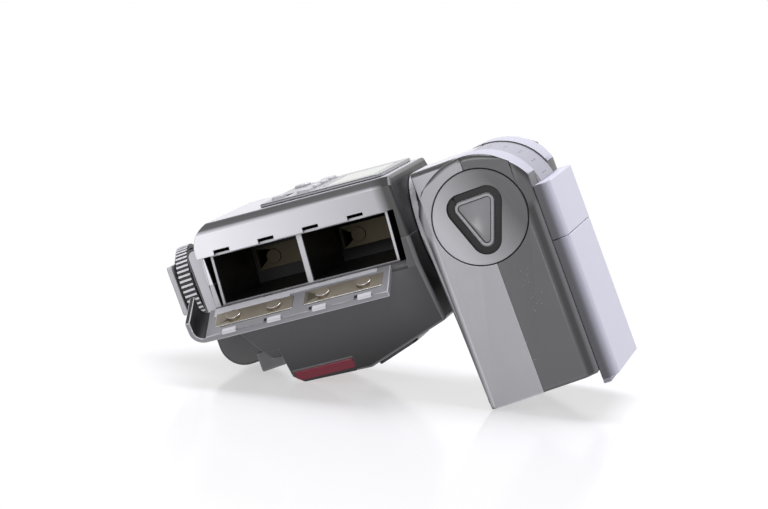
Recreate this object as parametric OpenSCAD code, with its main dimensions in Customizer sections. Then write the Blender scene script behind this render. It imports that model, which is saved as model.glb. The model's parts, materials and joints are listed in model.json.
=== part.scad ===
// Electronic flash unit for a camera shoe, standing upright on its foot.
// Millimetres. +Z runs from the foot to the head, -Y is the way the flash fires,
// and the battery door is on the -X side.

/* [Foot] */
// Width of the foot plate across the shoe
foot_w = 18.6; // [18.3:0.1:18.7]
// Length of the foot plate along the shoe
foot_l = 18; // [16:0.5:20]
// Thickness of the foot plate
foot_t = 2; // [1.8:0.05:2.1]
// Corner radius of the foot plate
foot_corner_r = 1.2; // [0.5:0.1:3]
// Radius of the threaded neck between the shoe rails
foot_neck_r = 6.1; // [5:0.1:6.2]
// Rim of the foot's flange outside its screws
foot_flange_rim = 0.7; // [0.5:0.1:1.5]
// Radius of an electrical contact
foot_contact_r = 1.1; // [0.8:0.1:1.4]
// Depth of an electrical contact
foot_contact_t = 1.6; // [1:0.1:1.7]
// Distance of the outer contacts from the centre, along X and Y
foot_contact_pitch = 5; // [4:0.1:6]
// Shank radius of a foot screw
foot_screw_r = 0.8; // [0.6:0.1:0.9]
// Length of a foot screw
foot_screw_l = 7; // [5:0.5:9]
// Distance of the foot screws from the neck
foot_screw_gap = 0.2; // [0.1:0.1:0.6]

/* [Locking wheel] */
// Outer radius of the knurled wheel
wheel_r = 14; // [13:0.1:16]
// Thickness of the wheel
wheel_t = 4.5; // [4:0.1:6]
// Depth of the cup in the wheel's upper face
wheel_cup_t = 3; // [2:0.1:3.2]
// Wall of the wheel's rim
wheel_rim = 1.6; // [1.2:0.1:2.5]
// Number of grip grooves
wheel_grooves = 48; // [24:1:60]
// Radius of a grip groove
wheel_groove_r = 0.5; // [0.3:0.05:0.6]
// Radius of the clamp ring under the wheel
clamp_ring_r = 11.5; // [9:0.1:13]
// Thickness of the clamp ring
clamp_ring_t = 1.2; // [0.8:0.1:2]
// Gap between the foot plate and the lowered clamp ring
clamp_gap = 0.8; // [0.5:0.1:1.4]
// Height that the clamp ring rises when the wheel is undone
clamp_lift = 1.6; // [1:0.1:2]

/* [Plinth] */
// Width of the plinth under the body
plinth_w = 38; // [30:1:44]
// Height of the plinth
plinth_h = 8.2; // [7:0.1:11]
// How far the plinth reaches back from the foot's centre
plinth_back = 12.5; // [10:0.5:14]
// How far the plinth reaches forward from the foot's centre
plinth_front = 32; // [26:0.5:33]
// Radius of the plinth's front lower edge
plinth_front_r = 9; // [4:0.5:10]
// Radius of the plinth's back lower edge
plinth_back_r = 3; // [1:0.5:5]

/* [Body] */
// Width of the body
body_w = 74; // [72:0.5:80]
// Height of the body
body_h = 72.5; // [72:0.5:76]
// Wall of the shells
wall = 2; // [1.8:0.1:2.4]
// Forward lean of the body's walls, in degrees
lean = 5; // [4:0.5:6]
// How far the body's middle lies in front of the foot's centre
body_forward = 3; // [2:0.5:4]
// From the middle to the back face
body_back = 20; // [19:0.5:22]
// Bevel along the back edges
back_bevel = 3; // [1:0.5:4]
// From the middle to where the sides start to slope inward
flat_side = 11.5; // [11:0.5:13]
// From the middle to the crease
crease_at = 28; // [27:0.5:30]
// Width across the creases
crease_w = 58; // [56:0.5:60]
// From the middle to the front face
body_front = 31; // [30:0.5:33]
// Width of the front face
front_w = 52; // [48:0.5:54]
// Radius of the back lower edge
back_foot_r = 10; // [6:0.5:12]
// From the foot's centre forward to where the underside slopes up
slope_start = 12; // [8:0.5:14]
// Rise of the sloping underside over its run to the front face
slope_rise = 11; // [8:0.5:12]
// From the middle back to the parting line of the shells
parting_at = -1; // [-2:0.5:0]

/* [Front bulge] */
// Height of the bulge's lower edge above the body's underside
bulge_low = 14; // [13:0.5:15]
// Height of the bulge's furthest point above the body's underside
bulge_peak = 41; // [38:0.5:48]
// How far the lower edge stands out of the front face
bulge_low_out = 11.5; // [10:0.5:13]
// How far the furthest point stands out of the front face
bulge_peak_out = 12; // [11:0.5:14]
// How far the bulge stands out at the body's top
bulge_top_out = 1.5; // [1:0.5:4]
// Width across the front of the bulge
bulge_front_w = 41; // [38:0.5:46]
// Chamfer of the lower edge
bulge_chamfer = 3; // [1:0.5:4]
// Height of the assist window above the bulge's lower edge
af_above = 4.1; // [1.8:0.1:5]
// Height of the assist window
af_h = 21.4; // [14:0.1:22]
// How far the assist window wraps back from the front face's plane
af_from = 6.8; // [6:0.1:9]
// Width of the front sensor window
sensor_w = 26; // [20:0.5:30]
// Height of the front sensor window
sensor_h = 16; // [12:0.5:18]
// Distance of the sensor window's middle above the bulge's furthest point
sensor_up = 8.8; // [8.2:0.1:14]
// How far the sensor window stands proud
sensor_t = 1.2; // [0.6:0.1:2]
// Lip of the sensor window over its hole
sensor_lip = 2; // [1:0.1:3]

/* [Terminal cover] */
// Width of the terminal cover
terminal_w = 12; // [8:0.5:14]
// Height of the terminal cover
terminal_h = 9; // [7:0.5:10]
// How far the terminal cover stands out of the front face's plane
terminal_out = 3.4; // [2:0.1:5]
// Distance of the terminal cover from the middle
terminal_at = 18; // [14:0.5:19]
// Radius of a terminal cover peg
terminal_peg_r = 1.2; // [0.8:0.1:1.6]
// Distance between the two pegs
terminal_peg_pitch = 6; // [4:0.5:7]
// Length of a peg
terminal_peg_l = 6; // [5:0.5:8]

/* [Battery tray] */
// Room that the tray leaves free along the body's height
tray_room = 8.5; // [7.5:0.1:9.5]
// Depth of a pocket across the cells
pocket_h = 16.4; // [15:0.1:17]
// Length of a pocket, along the cells
pocket_l = 54; // [53:0.5:55]
// Wall between the two pockets
divider_t = 2.2; // [1.6:0.1:2.6]
// Wall of the tray
tray_wall = 1.2; // [1:0.1:1.4]
// How far the tray's middle lies below the body's middle
tray_drop = 1.4; // [1:0.1:1.5]
// Gap between the closed door's hooks and the tray's mouth
tray_gap = 0.5; // [0.4:0.1:1]
// Radius of a tray column
column_r = 3; // [2:0.1:3.4]
// Distance of the tray columns from the tray's middle
tray_column_at = 14; // [8:0.5:18]
// Diameter of a cell
cell_d = 14.5; // [13.5:0.1:14.6]
// Thickness of the contact strip
strip_t = 0.4; // [0.3:0.05:0.6]
// Space between a strip's ends and the pocket's walls
strip_margin = 1; // [0.5:0.1:2]
// Height of a contact's raised button
contact_rise = 1; // [0.6:0.05:1]
// Radius of a contact's raised button
contact_button_r = 2.6; // [2:0.1:4]

/* [Battery door] */
// Gap between the locked hooks and the shell
hook_gap = 0.2; // [0.15:0.05:0.4]
// Gap around the closed door
door_gap = 0.3; // [0.2:0.05:0.5]
// How far the door is open
door_open = 115; // [95:1:120]
// Travel of the door's lock slide
door_lock = 2.5; // [2:0.1:3]
// Depth of the door's lower end wall
door_end_l = 9; // [6:0.5:10]
// Thickness of the door's lower end wall
door_end_t = 1.7; // [1.2:0.1:2]
// Radius of the rounded corner at the door's lower end
door_end_r = 5; // [2:0.5:6]
// Radius of a hinge knuckle
knuckle_r = 1.3; // [1.1:0.05:1.5]
// Radius of the hinge pin
hinge_pin_r = 0.8; // [0.6:0.05:0.9]
// Length of a door knuckle
knuckle_l = 11.6; // [8:0.1:12]
// Distance from knuckle to knuckle
knuckle_pitch = 19.8; // [19.5:0.1:20.5]
// Length of a hinge ear on the body
ear_l = 5; // [4:0.5:6]
// Number of hooks on the free edge
hook_count = 4; // [2:1:4]
// Length of a hook
hook_l = 5; // [4:0.5:6]
// Reach of a hook past the free edge
hook_reach = 1.4; // [1:0.1:1.6]
// How far a hook is rooted on the door
hook_root = 1; // [0.6:0.1:2]
// Thickness of a hook
hook_t = 1.1; // [0.8:0.1:1.2]

/* [Back panel] */
// Width of the back panel
panel_w = 60; // [58:0.5:64]
// Thickness of the back panel
panel_t = 1.3; // [1:0.1:1.8]
// Height of the panel's lower edge relative to the middle
panel_low = -13; // [-15:0.5:-12]
// Height of the panel's upper edge relative to the middle
panel_high = 31; // [30:0.5:32]
// Corner radius of the keys and the display
control_corner_r = 1; // [0.5:0.1:1.5]
// Distance of the key board's bosses from the controls
boss_gap = 1; // [0.6:0.1:1.5]
// Corner radius of the back panel
panel_corner_r = 3; // [1:0.5:5]
// Width of the display window
lcd_w = 42; // [36:0.5:46]
// Height of the display window
lcd_h = 18; // [14:0.5:20]
// Height of the display's middle relative to the body's middle
lcd_at = 18; // [17:0.5:19]
// Frame of the display module that is hidden behind the shell
lcd_frame = 2; // [1:0.1:3]
// Thickness of the display module
lcd_module_t = 2.4; // [1.5:0.1:2.6]
// Width of a key
key_w = 9; // [7:0.5:11]
// Height of a key
key_h = 4.5; // [4:0.1:5.5]
// Distance from key to key
key_pitch = 13.5; // [13:0.5:15]
// Height of the key row relative to the body's middle
key_at = 2; // [1:0.5:3]
// How far a key stands proud of the panel
key_proud = 1; // [0.9:0.1:1.5]
// Travel of a key
key_travel = 0.8; // [0.4:0.1:0.9]
// Flange of a key inside the shell
key_flange = 0.8; // [0.6:0.1:1]
// Radius of the test button
test_r = 3; // [2:0.1:3.4]
// Distance of the test button from the middle
test_x = 20; // [17:0.5:22]
// Height of the test button and the switch relative to the body's middle
low_row_at = -7.5; // [-8:0.1:-7]
// Length of the power switch knob
switch_w = 8; // [6:0.5:9]
// Height of the power switch knob
switch_h = 4; // [3:0.1:5]
// Travel of the power switch
switch_travel = 9; // [6:0.5:10]
// Left end of the power switch knob's travel
switch_x = -20; // [-21:0.5:-17]
// Thickness of a circuit board
board_t = 1.6; // [1:0.1:2]

/* [Inside the body] */
// Width of the main circuit board
board_w = 46; // [40:0.5:48]
// Height of the main circuit board
board_h = 52; // [46:0.5:54]
// Height of the stand-offs under the main board
standoff_h = 2; // [1.5:0.1:3]
// Radius of the main capacitor
capacitor_r = 10; // [8:0.1:10.5]
// Length of the main capacitor
capacitor_l = 40; // [34:0.5:44]
// Height of the capacitor's middle relative to the body's middle
capacitor_at = 1; // [0:0.5:2]
// Size of the converter transformer along X, back and up
transformer_size = [16, 11, 12]; // [8:0.5:16]
// Height of the transformer's middle relative to the body's middle
transformer_at = 19; // [18.5:0.5:19.5]
// Size of the assist lamp along X, back and up
af_lamp_size = [14, 4, 12]; // [4:0.5:16]
// Radius of the screws that join the shells
shell_screw_r = 1.2; // [0.9:0.1:1.4]
// Head radius of those screws
shell_screw_head_r = 2.2; // [1.8:0.1:2.6]
// Gap between the tray and the columns of those screws
shell_screw_gap = 2; // [1:0.1:3]
// Height of the upper screw above the middle
shell_screw_high = 30; // [29:0.5:31]
// Depth of the lower screw below the middle
shell_screw_low = 25; // [22:0.5:26]
// Length of those screws behind the front end
shell_screw_l = 30; // [28:0.5:32]

/* [Swivel and neck] */
// Height of the swivel ring
swivel_h = 2.8; // [2.6:0.1:3.4]
// Wall of the swivel ring outside the neck's flange
swivel_wall = 2.3; // [1.5:0.1:3]
// Radius of the neck's shaft in the swivel ring
neck_shaft_r = 15; // [13:0.1:15.5]
// How far the neck's flange reaches under the swivel ring
neck_flange_lip = 2.4; // [1.5:0.1:3]
// Thickness of the neck's flange
neck_flange_t = 1; // [0.8:0.1:1.2]
// Width of the neck and its drum
neck_w = 32.8; // [30:0.1:34]
// From the tilt axis to the front of the neck
neck_front = 13; // [10:0.5:15]
// How far the tilt axis lies in front of the foot's centre
tilt_forward = 9.5; // [9:0.1:10.5]
// Radius of the tilt axle
axle_r = 4; // [3:0.1:4.5]
// Reach of the tilt axle past the neck's sides
axle_reach = 4.8; // [4:0.1:5]
// Rim of an axle ring outside the axle
axle_ring_rim = 1.6; // [1:0.1:2.5]
// Thickness of an axle ring
axle_ring_t = 1.2; // [0.8:0.1:1.4]

/* [Head] */
// Width of the head
head_w = 71; // [70:0.5:74]
// Radius of the head's round back, about the tilt axis
head_r = 21.2; // [20.8:0.1:22]
// From the tilt axis to the head's front face
head_front = 63; // [61:0.5:68]
// From the tilt axis down to the underside at the front
head_low = 19; // [18.5:0.1:19.5]
// From the tilt axis up to the top of the upper shell
head_high = 19.6; // [19:0.1:20.2]
// Chamfer of the upper shell's long edges
head_shoulder = 4; // [2:0.5:5]
// Chamfer of the lower shell's long edges
head_edge = 1.5; // [0.5:0.5:2.5]
// Wall beside the neck slot
slot_wall = 1.5; // [1.2:0.1:1.8]
// Gap between the neck and the head
slot_gap = 0.4; // [0.3:0.05:0.6]
// Radius of the discs on the sides
disc_r = 16.5; // [16:0.1:17]
// Thickness of the discs
disc_t = 1.4; // [1:0.1:1.6]
// Ledge that a disc sits on
disc_ledge = 2.5; // [1.5:0.1:2.5]
// Gap around a disc
disc_gap = 0.15; // [0.1:0.05:0.3]

/* [Top covers] */
// Height of the top covers
cover_h = 5.6; // [4.5:0.1:6]
// Width of the top covers
cover_w = 62.6; // [60:0.1:63]
// Chamfer of the covers' upper edges
cover_edge = 3; // [1:0.5:3.5]
// How far the rear cover reaches behind the tilt axis
cover_back = 3.6; // [2:0.1:4.5]
// From the tilt axis forward to the seam between the covers
cover_seam = 15.8; // [14:0.1:18]
// Gap at the seam
cover_gap = 0.15; // [0.1:0.05:0.3]
// How far the front cover stands out of the head's front
cover_out = 2.6; // [1:0.1:3.5]
// Thickness of the pull-out panel
panel_sheet_t = 1.1; // [0.8:0.1:1.4]
// Width of the pull-out panel
panel_sheet_w = 52; // [46:0.5:54]
// Space between the pull-out panel's inner end and the covers' seam
panel_room = 4.8; // [2:0.1:10]
// Width of the panel's grip lip
lip_w = 60; // [54:0.5:62]
// Depth of the panel's grip lip
lip_t = 1.6; // [1.2:0.1:3]
// Drop of the grip lip below the covers
lip_drop = 0.2; // [0:0.1:3]

/* [Tilt release] */
// Width of the dished recess around the button's hole
recess_rim = 2.2; // [0.6:0.1:2.4]
// Depth of the dished recess
recess_t = 0.9; // [0.3:0.1:1]
// From the tilt axis back to the button's wide side
release_back = 4.5; // [3.5:0.1:5]
// From the tilt axis down to the button's lower corner
release_low = 5; // [4:0.1:5.5]
// From the tilt axis up to the button's upper corner
release_high = 4; // [3.5:0.1:5]
// From the tilt axis forward to the button's tip
release_tip = 7.7; // [6:0.1:8]
// Radius of the rounded corners of the button
button_r = 2.4; // [2:0.1:3.2]
// Gap around the button
button_gap = 0.3; // [0.2:0.05:0.4]
// How far the button's face lies inside the disc's face
button_sunk = 0.5; // [0.3:0.1:0.8]
// How far the button's flange reaches behind the disc
button_flange_lip = 0.9; // [0.6:0.1:1.2]
// Thickness of the flange
button_flange_t = 1; // [0.8:0.1:1.2]
// Travel of the button
button_travel = 1.8; // [1:0.1:2]
// Radius of the button's stem
stem_r = 2; // [1.5:0.1:2.3]
// Thickness of the stem's guide plate
guide_t = 1.5; // [1:0.1:1.8]
// Rim of the guide plate outside its pillars
guide_rim = 0.5; // [0.3:0.1:1]
// Radius of a guide pillar
guide_pillar_r = 1.5; // [1:0.1:1.8]
// Gap between the guide plate and the axle's end
guide_gap = 1; // [0.5:0.1:1.2]
// Wire radius of the release spring
spring_wire_r = 0.35; // [0.25:0.05:0.4]
// Gap between the release spring and the stem
spring_gap = 0.55; // [0.4:0.05:0.8]
// Turns of the release spring
spring_turns = 5; // [4:1:6]

/* [Flash optics] */
// Frame at the sides of the flash window
window_side = 7; // [6.5:0.1:9]
// Frame below the flash window
window_rim = 3.5; // [3.3:0.1:5]
// Thickness of the flash window
window_t = 1.6; // [1.2:0.1:1.8]
// Flange of the window behind the front wall
window_flange = 0.7; // [0.5:0.1:0.8]
// Thickness of that flange
window_flange_t = 1.4; // [1:0.1:1.8]
// How far the reflector is narrower than the window, at each side
reflector_side = 3.5; // [3:0.1:6]
// Height of the reflector's mouth
reflector_h = 22; // [18:0.5:23]
// Space between the reflector and the window when the carriage is forward
reflector_spare = 3; // [1:0.5:5]
// Wall of the reflector
reflector_wall = 0.8; // [0.6:0.1:1.2]
// Radius of the flash tube
tube_r = 1.8; // [1.2:0.1:2]
// Travel of the zoom carriage
zoom_travel = 12; // [8:0.5:12]
// Thickness of the carriage plate
carriage_t = 2; // [1.5:0.1:2.5]
// Radius of a guide rod
rod_r = 1.2; // [0.9:0.1:1.3]
// Distance of the guide rods from the head's sides
rod_inset = 8.7; // [8.5:0.1:9]
// Height of the guide rods above the head's underside
rod_rise = 5; // [4.8:0.1:5.4]
// Wall of a carriage bush
bush_wall = 1; // [0.8:0.1:1.2]
// Length of a carriage bush
bush_l = 8; // [6:0.5:9]
// Radius of the zoom motor
motor_r = 5; // [4:0.1:5.2]
// Length of the zoom motor
motor_l = 15; // [10:0.5:16]
// Gap between the reflector and the lead screw above it
screw_gap = 0.8; // [0.4:0.1:1.2]
// Distance of the motor's axis below its output shaft
motor_offset = 4; // [3.5:0.1:4.5]
// Thickness of the bulkhead
bulkhead_t = 1.5; // [1.2:0.1:2]
// Shank radius of a head screw
head_screw_r = 1; // [0.8:0.1:1.1]
// Head radius of a head screw
head_screw_head_r = 1.7; // [1.4:0.1:1.8]
// Length of a head screw
head_screw_l = 30; // [26:0.5:32]
// Radius of a head screw's column
head_column_r = 2.4; // [2.2:0.1:2.6]

/* [Fits] */
// Radial clearance of a shaft in its bore
running = 0.05; // [0.02:0.01:0.1]
// Gap between moving pieces
clear = 0.3; // [0.2:0.05:0.4]
// Gap between flat faces that turn on each other
face_gap = 0.1; // [0.05:0.05:0.2]

/* [Hidden] */
$fn = 64;
over = 1;

// Foot flange with its ring of screws
foot_screw_place = foot_neck_r + foot_screw_gap + foot_screw_r;
foot_flange_r = foot_screw_place + foot_screw_r + foot_flange_rim;

// Heights from the foot upward
ring_z = foot_t + clamp_gap;
wheel_z = ring_z + clamp_ring_t + face_gap;
wheel_floor_z = wheel_z + wheel_t - wheel_cup_t;
flange_z = wheel_floor_z + clamp_lift + clear + face_gap;
plinth_z = wheel_z + wheel_t + clamp_lift + 2 * clear;
body_z = plinth_z + plinth_h;
body_top_z = body_z + body_h;
swivel_top_z = body_top_z + swivel_h;
tilt_z = swivel_top_z + 2 * clear + head_r;
tilt_y = -tilt_forward;

// The leaning frame has its origin in the body's middle, u backward and v up along the lean
lean_y = -body_forward;
lean_z = body_z + body_h / 2;
side_x = body_w / 2;
function lean_plane_y(u, z) = lean_y + (u - (z - lean_z) * sin(lean)) / cos(lean);

// Front bulge
bulge_low_z = body_z + bulge_low;
bulge_peak_z = body_z + bulge_peak;
bulge_low_y = lean_plane_y(-body_front, bulge_low_z) - bulge_low_out;
bulge_peak_y = lean_plane_y(-body_front, bulge_peak_z) - bulge_peak_out;
bulge_top_y = lean_plane_y(-body_front, body_top_z) - bulge_top_out;
bulge_slope = atan((bulge_top_y - bulge_peak_y) / (body_top_z - bulge_peak_z));
slope_run = body_front + body_forward - slope_start;

// Battery tray and door, in the leaning frame
pocket_w = (body_h - tray_room - divider_t) / 2 - tray_wall;
door_t = wall + hook_gap;
tray_x = door_t + hook_t + tray_gap - side_x;
tray_half_v = pocket_w + divider_t / 2 + tray_wall;
tray_half_u = pocket_h / 2 + tray_wall;
tray_end_x = tray_x + pocket_l + tray_wall;
shell_screw_x = tray_end_x + shell_screw_gap + column_r;
door_half_u = pocket_h / 2 + clear;
door_high_v = tray_half_v - tray_drop;
door_low_v = -(body_h / 2 + door_half_u * sin(lean) + clear) / cos(lean) - door_end_t;
door_end_centre = [door_end_r - side_x, door_low_v + door_end_r];
hinge_x = -side_x + door_gap / 3;
hinge_u = -door_half_u - knuckle_r - clear;
hook_u = door_half_u + hook_reach;
hook_v = [for (i = [0 : hook_count - 1]) (i - (hook_count - 1) / 2) * tray_half_v / 2 - tray_drop];
knuckle_v = [for (i = [-1 : 1]) i * knuckle_pitch - tray_drop];
ear_v = [for (i = [-1, 1]) i * knuckle_pitch / 2 - tray_drop - door_lock / 2];
channel_r = knuckle_r + clear;

// Back controls, in the leaning frame
inner_back = body_back - wall;
key_x = [for (i = [0 : 3]) (i - 1.5) * key_pitch];
key_space = face_gap + key_flange + key_travel + clear;
boss_x = panel_w / 2 - column_r;
boss_low = low_row_at - test_r - boss_gap - column_r / 2;
boss_high = key_at + key_h / 2 + 2 * clear + boss_gap + column_r / 2;
key_board_u = inner_back - key_space - board_t;
lcd_back_u = inner_back - lcd_module_t;

// Swivel and tilt axle
neck_flange_r = neck_shaft_r + neck_flange_lip;
swivel_r = neck_flange_r + clear + swivel_wall;
axle_ring_r = axle_r + axle_ring_rim;

// Head, measured from the tilt axis
half_head = head_w / 2;
slot_half = neck_w / 2 + slot_gap;
drum_r = head_r - slot_gap;
slot_r = head_r + face_gap;
wall_x = slot_half + slot_wall;
bulkhead_y = -(slot_r + slot_wall / 2);
axle_end = neck_w / 2 + axle_reach;
guide_x = -(axle_end + guide_gap + guide_t);
flange_x = disc_t + face_gap - half_head;
cover_top = head_high + cover_h;
sheet_z = head_high + face_gap;
panel_sheet_l = head_front + cover_out - cover_seam - panel_room;
carriage_y = bulkhead_y - bulkhead_t - clear - face_gap;
window_back = wall + window_flange_t - head_front;
release_corners = [[release_back, -release_low], [release_back, release_high],
    [-release_tip, (release_high - release_low) / 2]];
recess_r = button_r + button_gap + recess_rim;
button_flange_r = button_r + button_gap + button_flange_lip;
guide_pillar_at = axle_ring_r + clear + guide_pillar_r;
guide_r = guide_pillar_at + guide_pillar_r + guide_rim;
spring_r = stem_r + spring_gap + spring_wire_r;
release_stem = (release_corners[0] + release_corners[1] + release_corners[2]) / 3;
head_screw_x = half_head - wall - head_column_r / 2;
head_screw_y = -(head_front - wall - head_column_r / 2);
window_w = head_w - 2 * window_side;
window_h = 2 * (head_low - window_rim);
reflector_w = window_w - 2 * reflector_side;
rod_at = half_head - rod_inset;
rod_drop = head_low - rod_rise;
screw_x = (wall_x + half_head - wall) / 2;
screw_rise = reflector_h / 2 + screw_gap + rod_r;

// Points of an arc, from angle a0 to angle a1
function arc_points(c, r, a0, a1, n = 12) =
    [for (i = [0 : n]) c + r * [cos(a0 + (a1 - a0) * i / n), sin(a0 + (a1 - a0) * i / n)]];

// Mirrors a half outline of points with x >= 0 to the other side
function both_sides(half) =
    concat(half, [for (i = [len(half) - 1 : -1 : 0]) [-half[i][0], half[i][1]]]);

// Places its children in the leaning frame of the body
module leaned() translate([0, lean_y, lean_z]) rotate([lean, 0, 0]) children();

// Places its children at the tilt axis
module in_head() translate([0, tilt_y, tilt_z]) children();

// Extrudes an outline of (Y, Z) points across X, centred
module across(w) rotate([90, 0, 90]) linear_extrude(height = w, center = true) children();

// Extrudes an outline of (X, Z) points from y0 backward to y1
module lengthwise(y0, y1) translate([0, y1, 0]) rotate([90, 0, 0])
    linear_extrude(height = y1 - y0) children();

// A cylinder along +X from x0 to x1
module rod_x(r, x0, x1) translate([x0, 0, 0]) rotate([0, 90, 0]) cylinder(r = r, h = x1 - x0);

// A cylinder along Y from y0 to y1
module rod_y(r, y0, y1) translate([0, y1, 0]) rotate([90, 0, 0]) cylinder(r = r, h = y1 - y0);

// A box from its low corner to its high corner
module span(low, high) translate(low) cube(high - low);

// A rectangle with round corners, centred
module rounded_rect(w, h, r) {
    square([w - 2 * r, h], center = true);
    square([w, h - 2 * r], center = true);
    for (x = [-1, 1], y = [-1, 1]) translate([x * (w / 2 - r), y * (h / 2 - r)]) circle(r = r);
}

// Angle of the outward side of the edge from a to b, corners counter-clockwise
function outward(a, b) = atan2(a[0] - b[0], b[1] - a[1]);

// An outline of corners rounded to radius r and joined by straight sides, corners counter-clockwise
module rounded_outline(corners, r) {
    count = len(corners);
    polygon([for (i = [0 : count - 1])
        let (before = corners[(i + count - 1) % count], here = corners[i], after = corners[(i + 1) % count])
        let (start = outward(before, here), turn = (outward(here, after) - start + 360) % 360)
        each arc_points(here, r, start, start + turn)]);
}

// Outline of the body across the lean, drawn in by d
function body_plan(d) = both_sides([
    [side_x - back_bevel - 0.4 * d, body_back - d],
    [side_x - d, body_back - back_bevel - 0.4 * d],
    [side_x - d, -flat_side],
    [crease_w / 2 - d, -crease_at],
    [front_w / 2 - d, d - body_front]]);

// Side outline of the body, drawn in by d
function body_side(d) = concat(
    arc_points([lean_plane_y(body_back, body_z) - back_foot_r - d, body_z + back_foot_r + d],
        back_foot_r, 0, -90),
    [[-slope_start, body_z + d],
     [-slope_start - 2 * slope_run, body_z + d + 2 * slope_rise],
     [-slope_start - 2 * slope_run, body_top_z - d],
     [lean_plane_y(body_back, body_z) - d, body_top_z - d]]);

// Side outline of the bulge, drawn in by d
function bulge_side(d) = [
    [lean_plane_y(-body_front, bulge_low_z) + 3 * wall, bulge_low_z + d],
    [bulge_low_y + bulge_chamfer + d, bulge_low_z + d],
    [bulge_low_y + d, bulge_low_z + bulge_chamfer + d],
    [bulge_peak_y + d, bulge_peak_z],
    [bulge_top_y + d, body_top_z - d],
    [lean_plane_y(-body_front, body_top_z) + 3 * wall, body_top_z - d]];

// Outline of the bulge across the lean, drawn in by d
function bulge_plan(d) = both_sides([
    [crease_w / 2 - d, -crease_at + 2 * wall],
    [crease_w / 2 - d, -crease_at],
    [bulge_front_w / 2 - d, -body_front - bulge_peak_out - over]]);

module main_form(d) intersection() {
    leaned() linear_extrude(height = 2 * body_h, center = true) polygon(body_plan(d));
    across(2 * body_w) polygon(body_side(d));
}

module bulge_form(d) intersection() {
    leaned() linear_extrude(height = 2 * body_h, center = true) polygon(bulge_plan(d));
    across(2 * body_w) polygon(bulge_side(d));
}

module body_form(d) {
    main_form(d);
    bulge_form(d);
}

// The half of space behind (or in front of) the parting line
module behind_parting() leaned() span([-body_w, parting_at, -body_h], [body_w, 2 * body_w, body_h]);
module before_parting() leaned() span([-body_w, -2 * body_w, -body_h], [body_w, parting_at, body_h]);

// Space of the door and its hinge in the body's side, with a rounding inside the door's lower corner
module door_space() leaned() {
    span([-side_x - over, -door_half_u - door_gap, -body_h],
         [-side_x + wall + over / 2, door_half_u + door_gap, door_high_v + door_lock + door_gap]);
    translate([hinge_x, hinge_u, -body_h]) cylinder(r = channel_r, h = body_h + door_high_v + door_lock);
    lengthwise(-door_half_u - door_gap, door_half_u + door_gap) difference() {
        translate([-side_x - over, door_low_v - over]) square(door_end_r + over);
        translate(door_end_centre) circle(r = door_end_r - door_end_t - clear);
    }
}

// Notches that let the hooks of the unlocked door pass
module hook_notches() leaned() for (v = hook_v)
    span([-side_x - over, door_half_u, v - door_lock - hook_l / 2 - clear],
         [-side_x + wall + over / 2, hook_u + 2 * clear, v - door_lock + hook_l / 2 + clear]);

// The assist window's part of the bulge, grown by g
module af_space(g) leaned() span(
    [-body_w, -2 * body_w, bulge_low_z + af_above - lean_z - g],
    [body_w, -body_front - af_from + g, bulge_low_z + af_above + af_h - lean_z + g]);

// The sensor window's place on the bulge's sloping front, z outward
module on_bulge_slope() translate([0, bulge_peak_y, bulge_peak_z])
    rotate([90 - bulge_slope, 0, 0]) translate([0, sensor_up, 0]) children();

// Places its children at the terminal cover
terminal_y = lean_plane_y(-body_front, bulge_low_z) - terminal_out;
terminal_z = bulge_low_z - clear - terminal_h;
module terminal_pegs(r) for (s = [-1, 1])
    translate([-terminal_at + s * terminal_peg_pitch / 2, terminal_y + over, terminal_z + terminal_h * 0.75])
        rotate([-90, 0, 0]) cylinder(r = r, h = terminal_peg_l);

module shell_columns() leaned() for (v = [-shell_screw_low, shell_screw_high])
    translate([shell_screw_x, body_back - wall / 2, v])
        rotate([90, 0, 0]) cylinder(r = column_r, h = body_back + body_front);

module shell_screw_set(r, head_r, gap) leaned() for (v = [-shell_screw_low, shell_screw_high])
    translate([shell_screw_x, body_back + gap, v]) rotate([90, 0, 0]) {
        cylinder(r = r, h = shell_screw_l + gap);
        cylinder(r = head_r, h = wall * 0.7 + gap);
    }

// Holes for the controls through the shell and the panel
module lcd_hole(g) leaned() translate([0, inner_back - over, lcd_at]) rotate([-90, 0, 0])
    linear_extrude(height = body_back) rounded_rect(lcd_w + 2 * g, lcd_h + 2 * g, control_corner_r);
module key_holes(g) leaned() for (x = key_x) translate([x, inner_back - over, key_at]) rotate([-90, 0, 0])
    linear_extrude(height = body_back) rounded_rect(key_w + 2 * g, key_h + 2 * g, control_corner_r);
module low_row_holes(g) leaned() {
    translate([test_x, inner_back - over, low_row_at]) rotate([-90, 0, 0])
        cylinder(r = test_r + g, h = body_back);
    translate([switch_x + switch_travel / 2, inner_back - over, low_row_at]) rotate([-90, 0, 0])
        linear_extrude(height = body_back)
            square([switch_w + switch_travel + 2 * g, switch_h + 2 * g], center = true);
}

module foot_contact_places() {
    children();
    for (x = [-1, 1], y = [-1, 1]) translate([x, y] * foot_contact_pitch) children();
}

module foot_screw_places() for (i = [0 : 2]) rotate(120 * i + 30) translate([foot_screw_place, 0]) children();

module foot() color("DimGray") difference() {
    union() {
        linear_extrude(height = foot_t) rounded_rect(foot_w, foot_l, foot_corner_r);
        cylinder(r = foot_neck_r, h = plinth_z);
        translate([0, 0, flange_z]) cylinder(r = foot_flange_r, h = plinth_z - flange_z);
    }
    foot_contact_places() translate([0, 0, -over]) cylinder(r = foot_contact_r, h = foot_contact_t + over);
    foot_screw_places() translate([0, 0, flange_z - over]) cylinder(r = foot_screw_r, h = plinth_h);
}

module foot_contacts() color("Goldenrod") foot_contact_places()
    cylinder(r = foot_contact_r, h = foot_contact_t);

module foot_screws() color("Silver") foot_screw_places() translate([0, 0, flange_z])
    cylinder(r = foot_screw_r, h = foot_screw_l);

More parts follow.
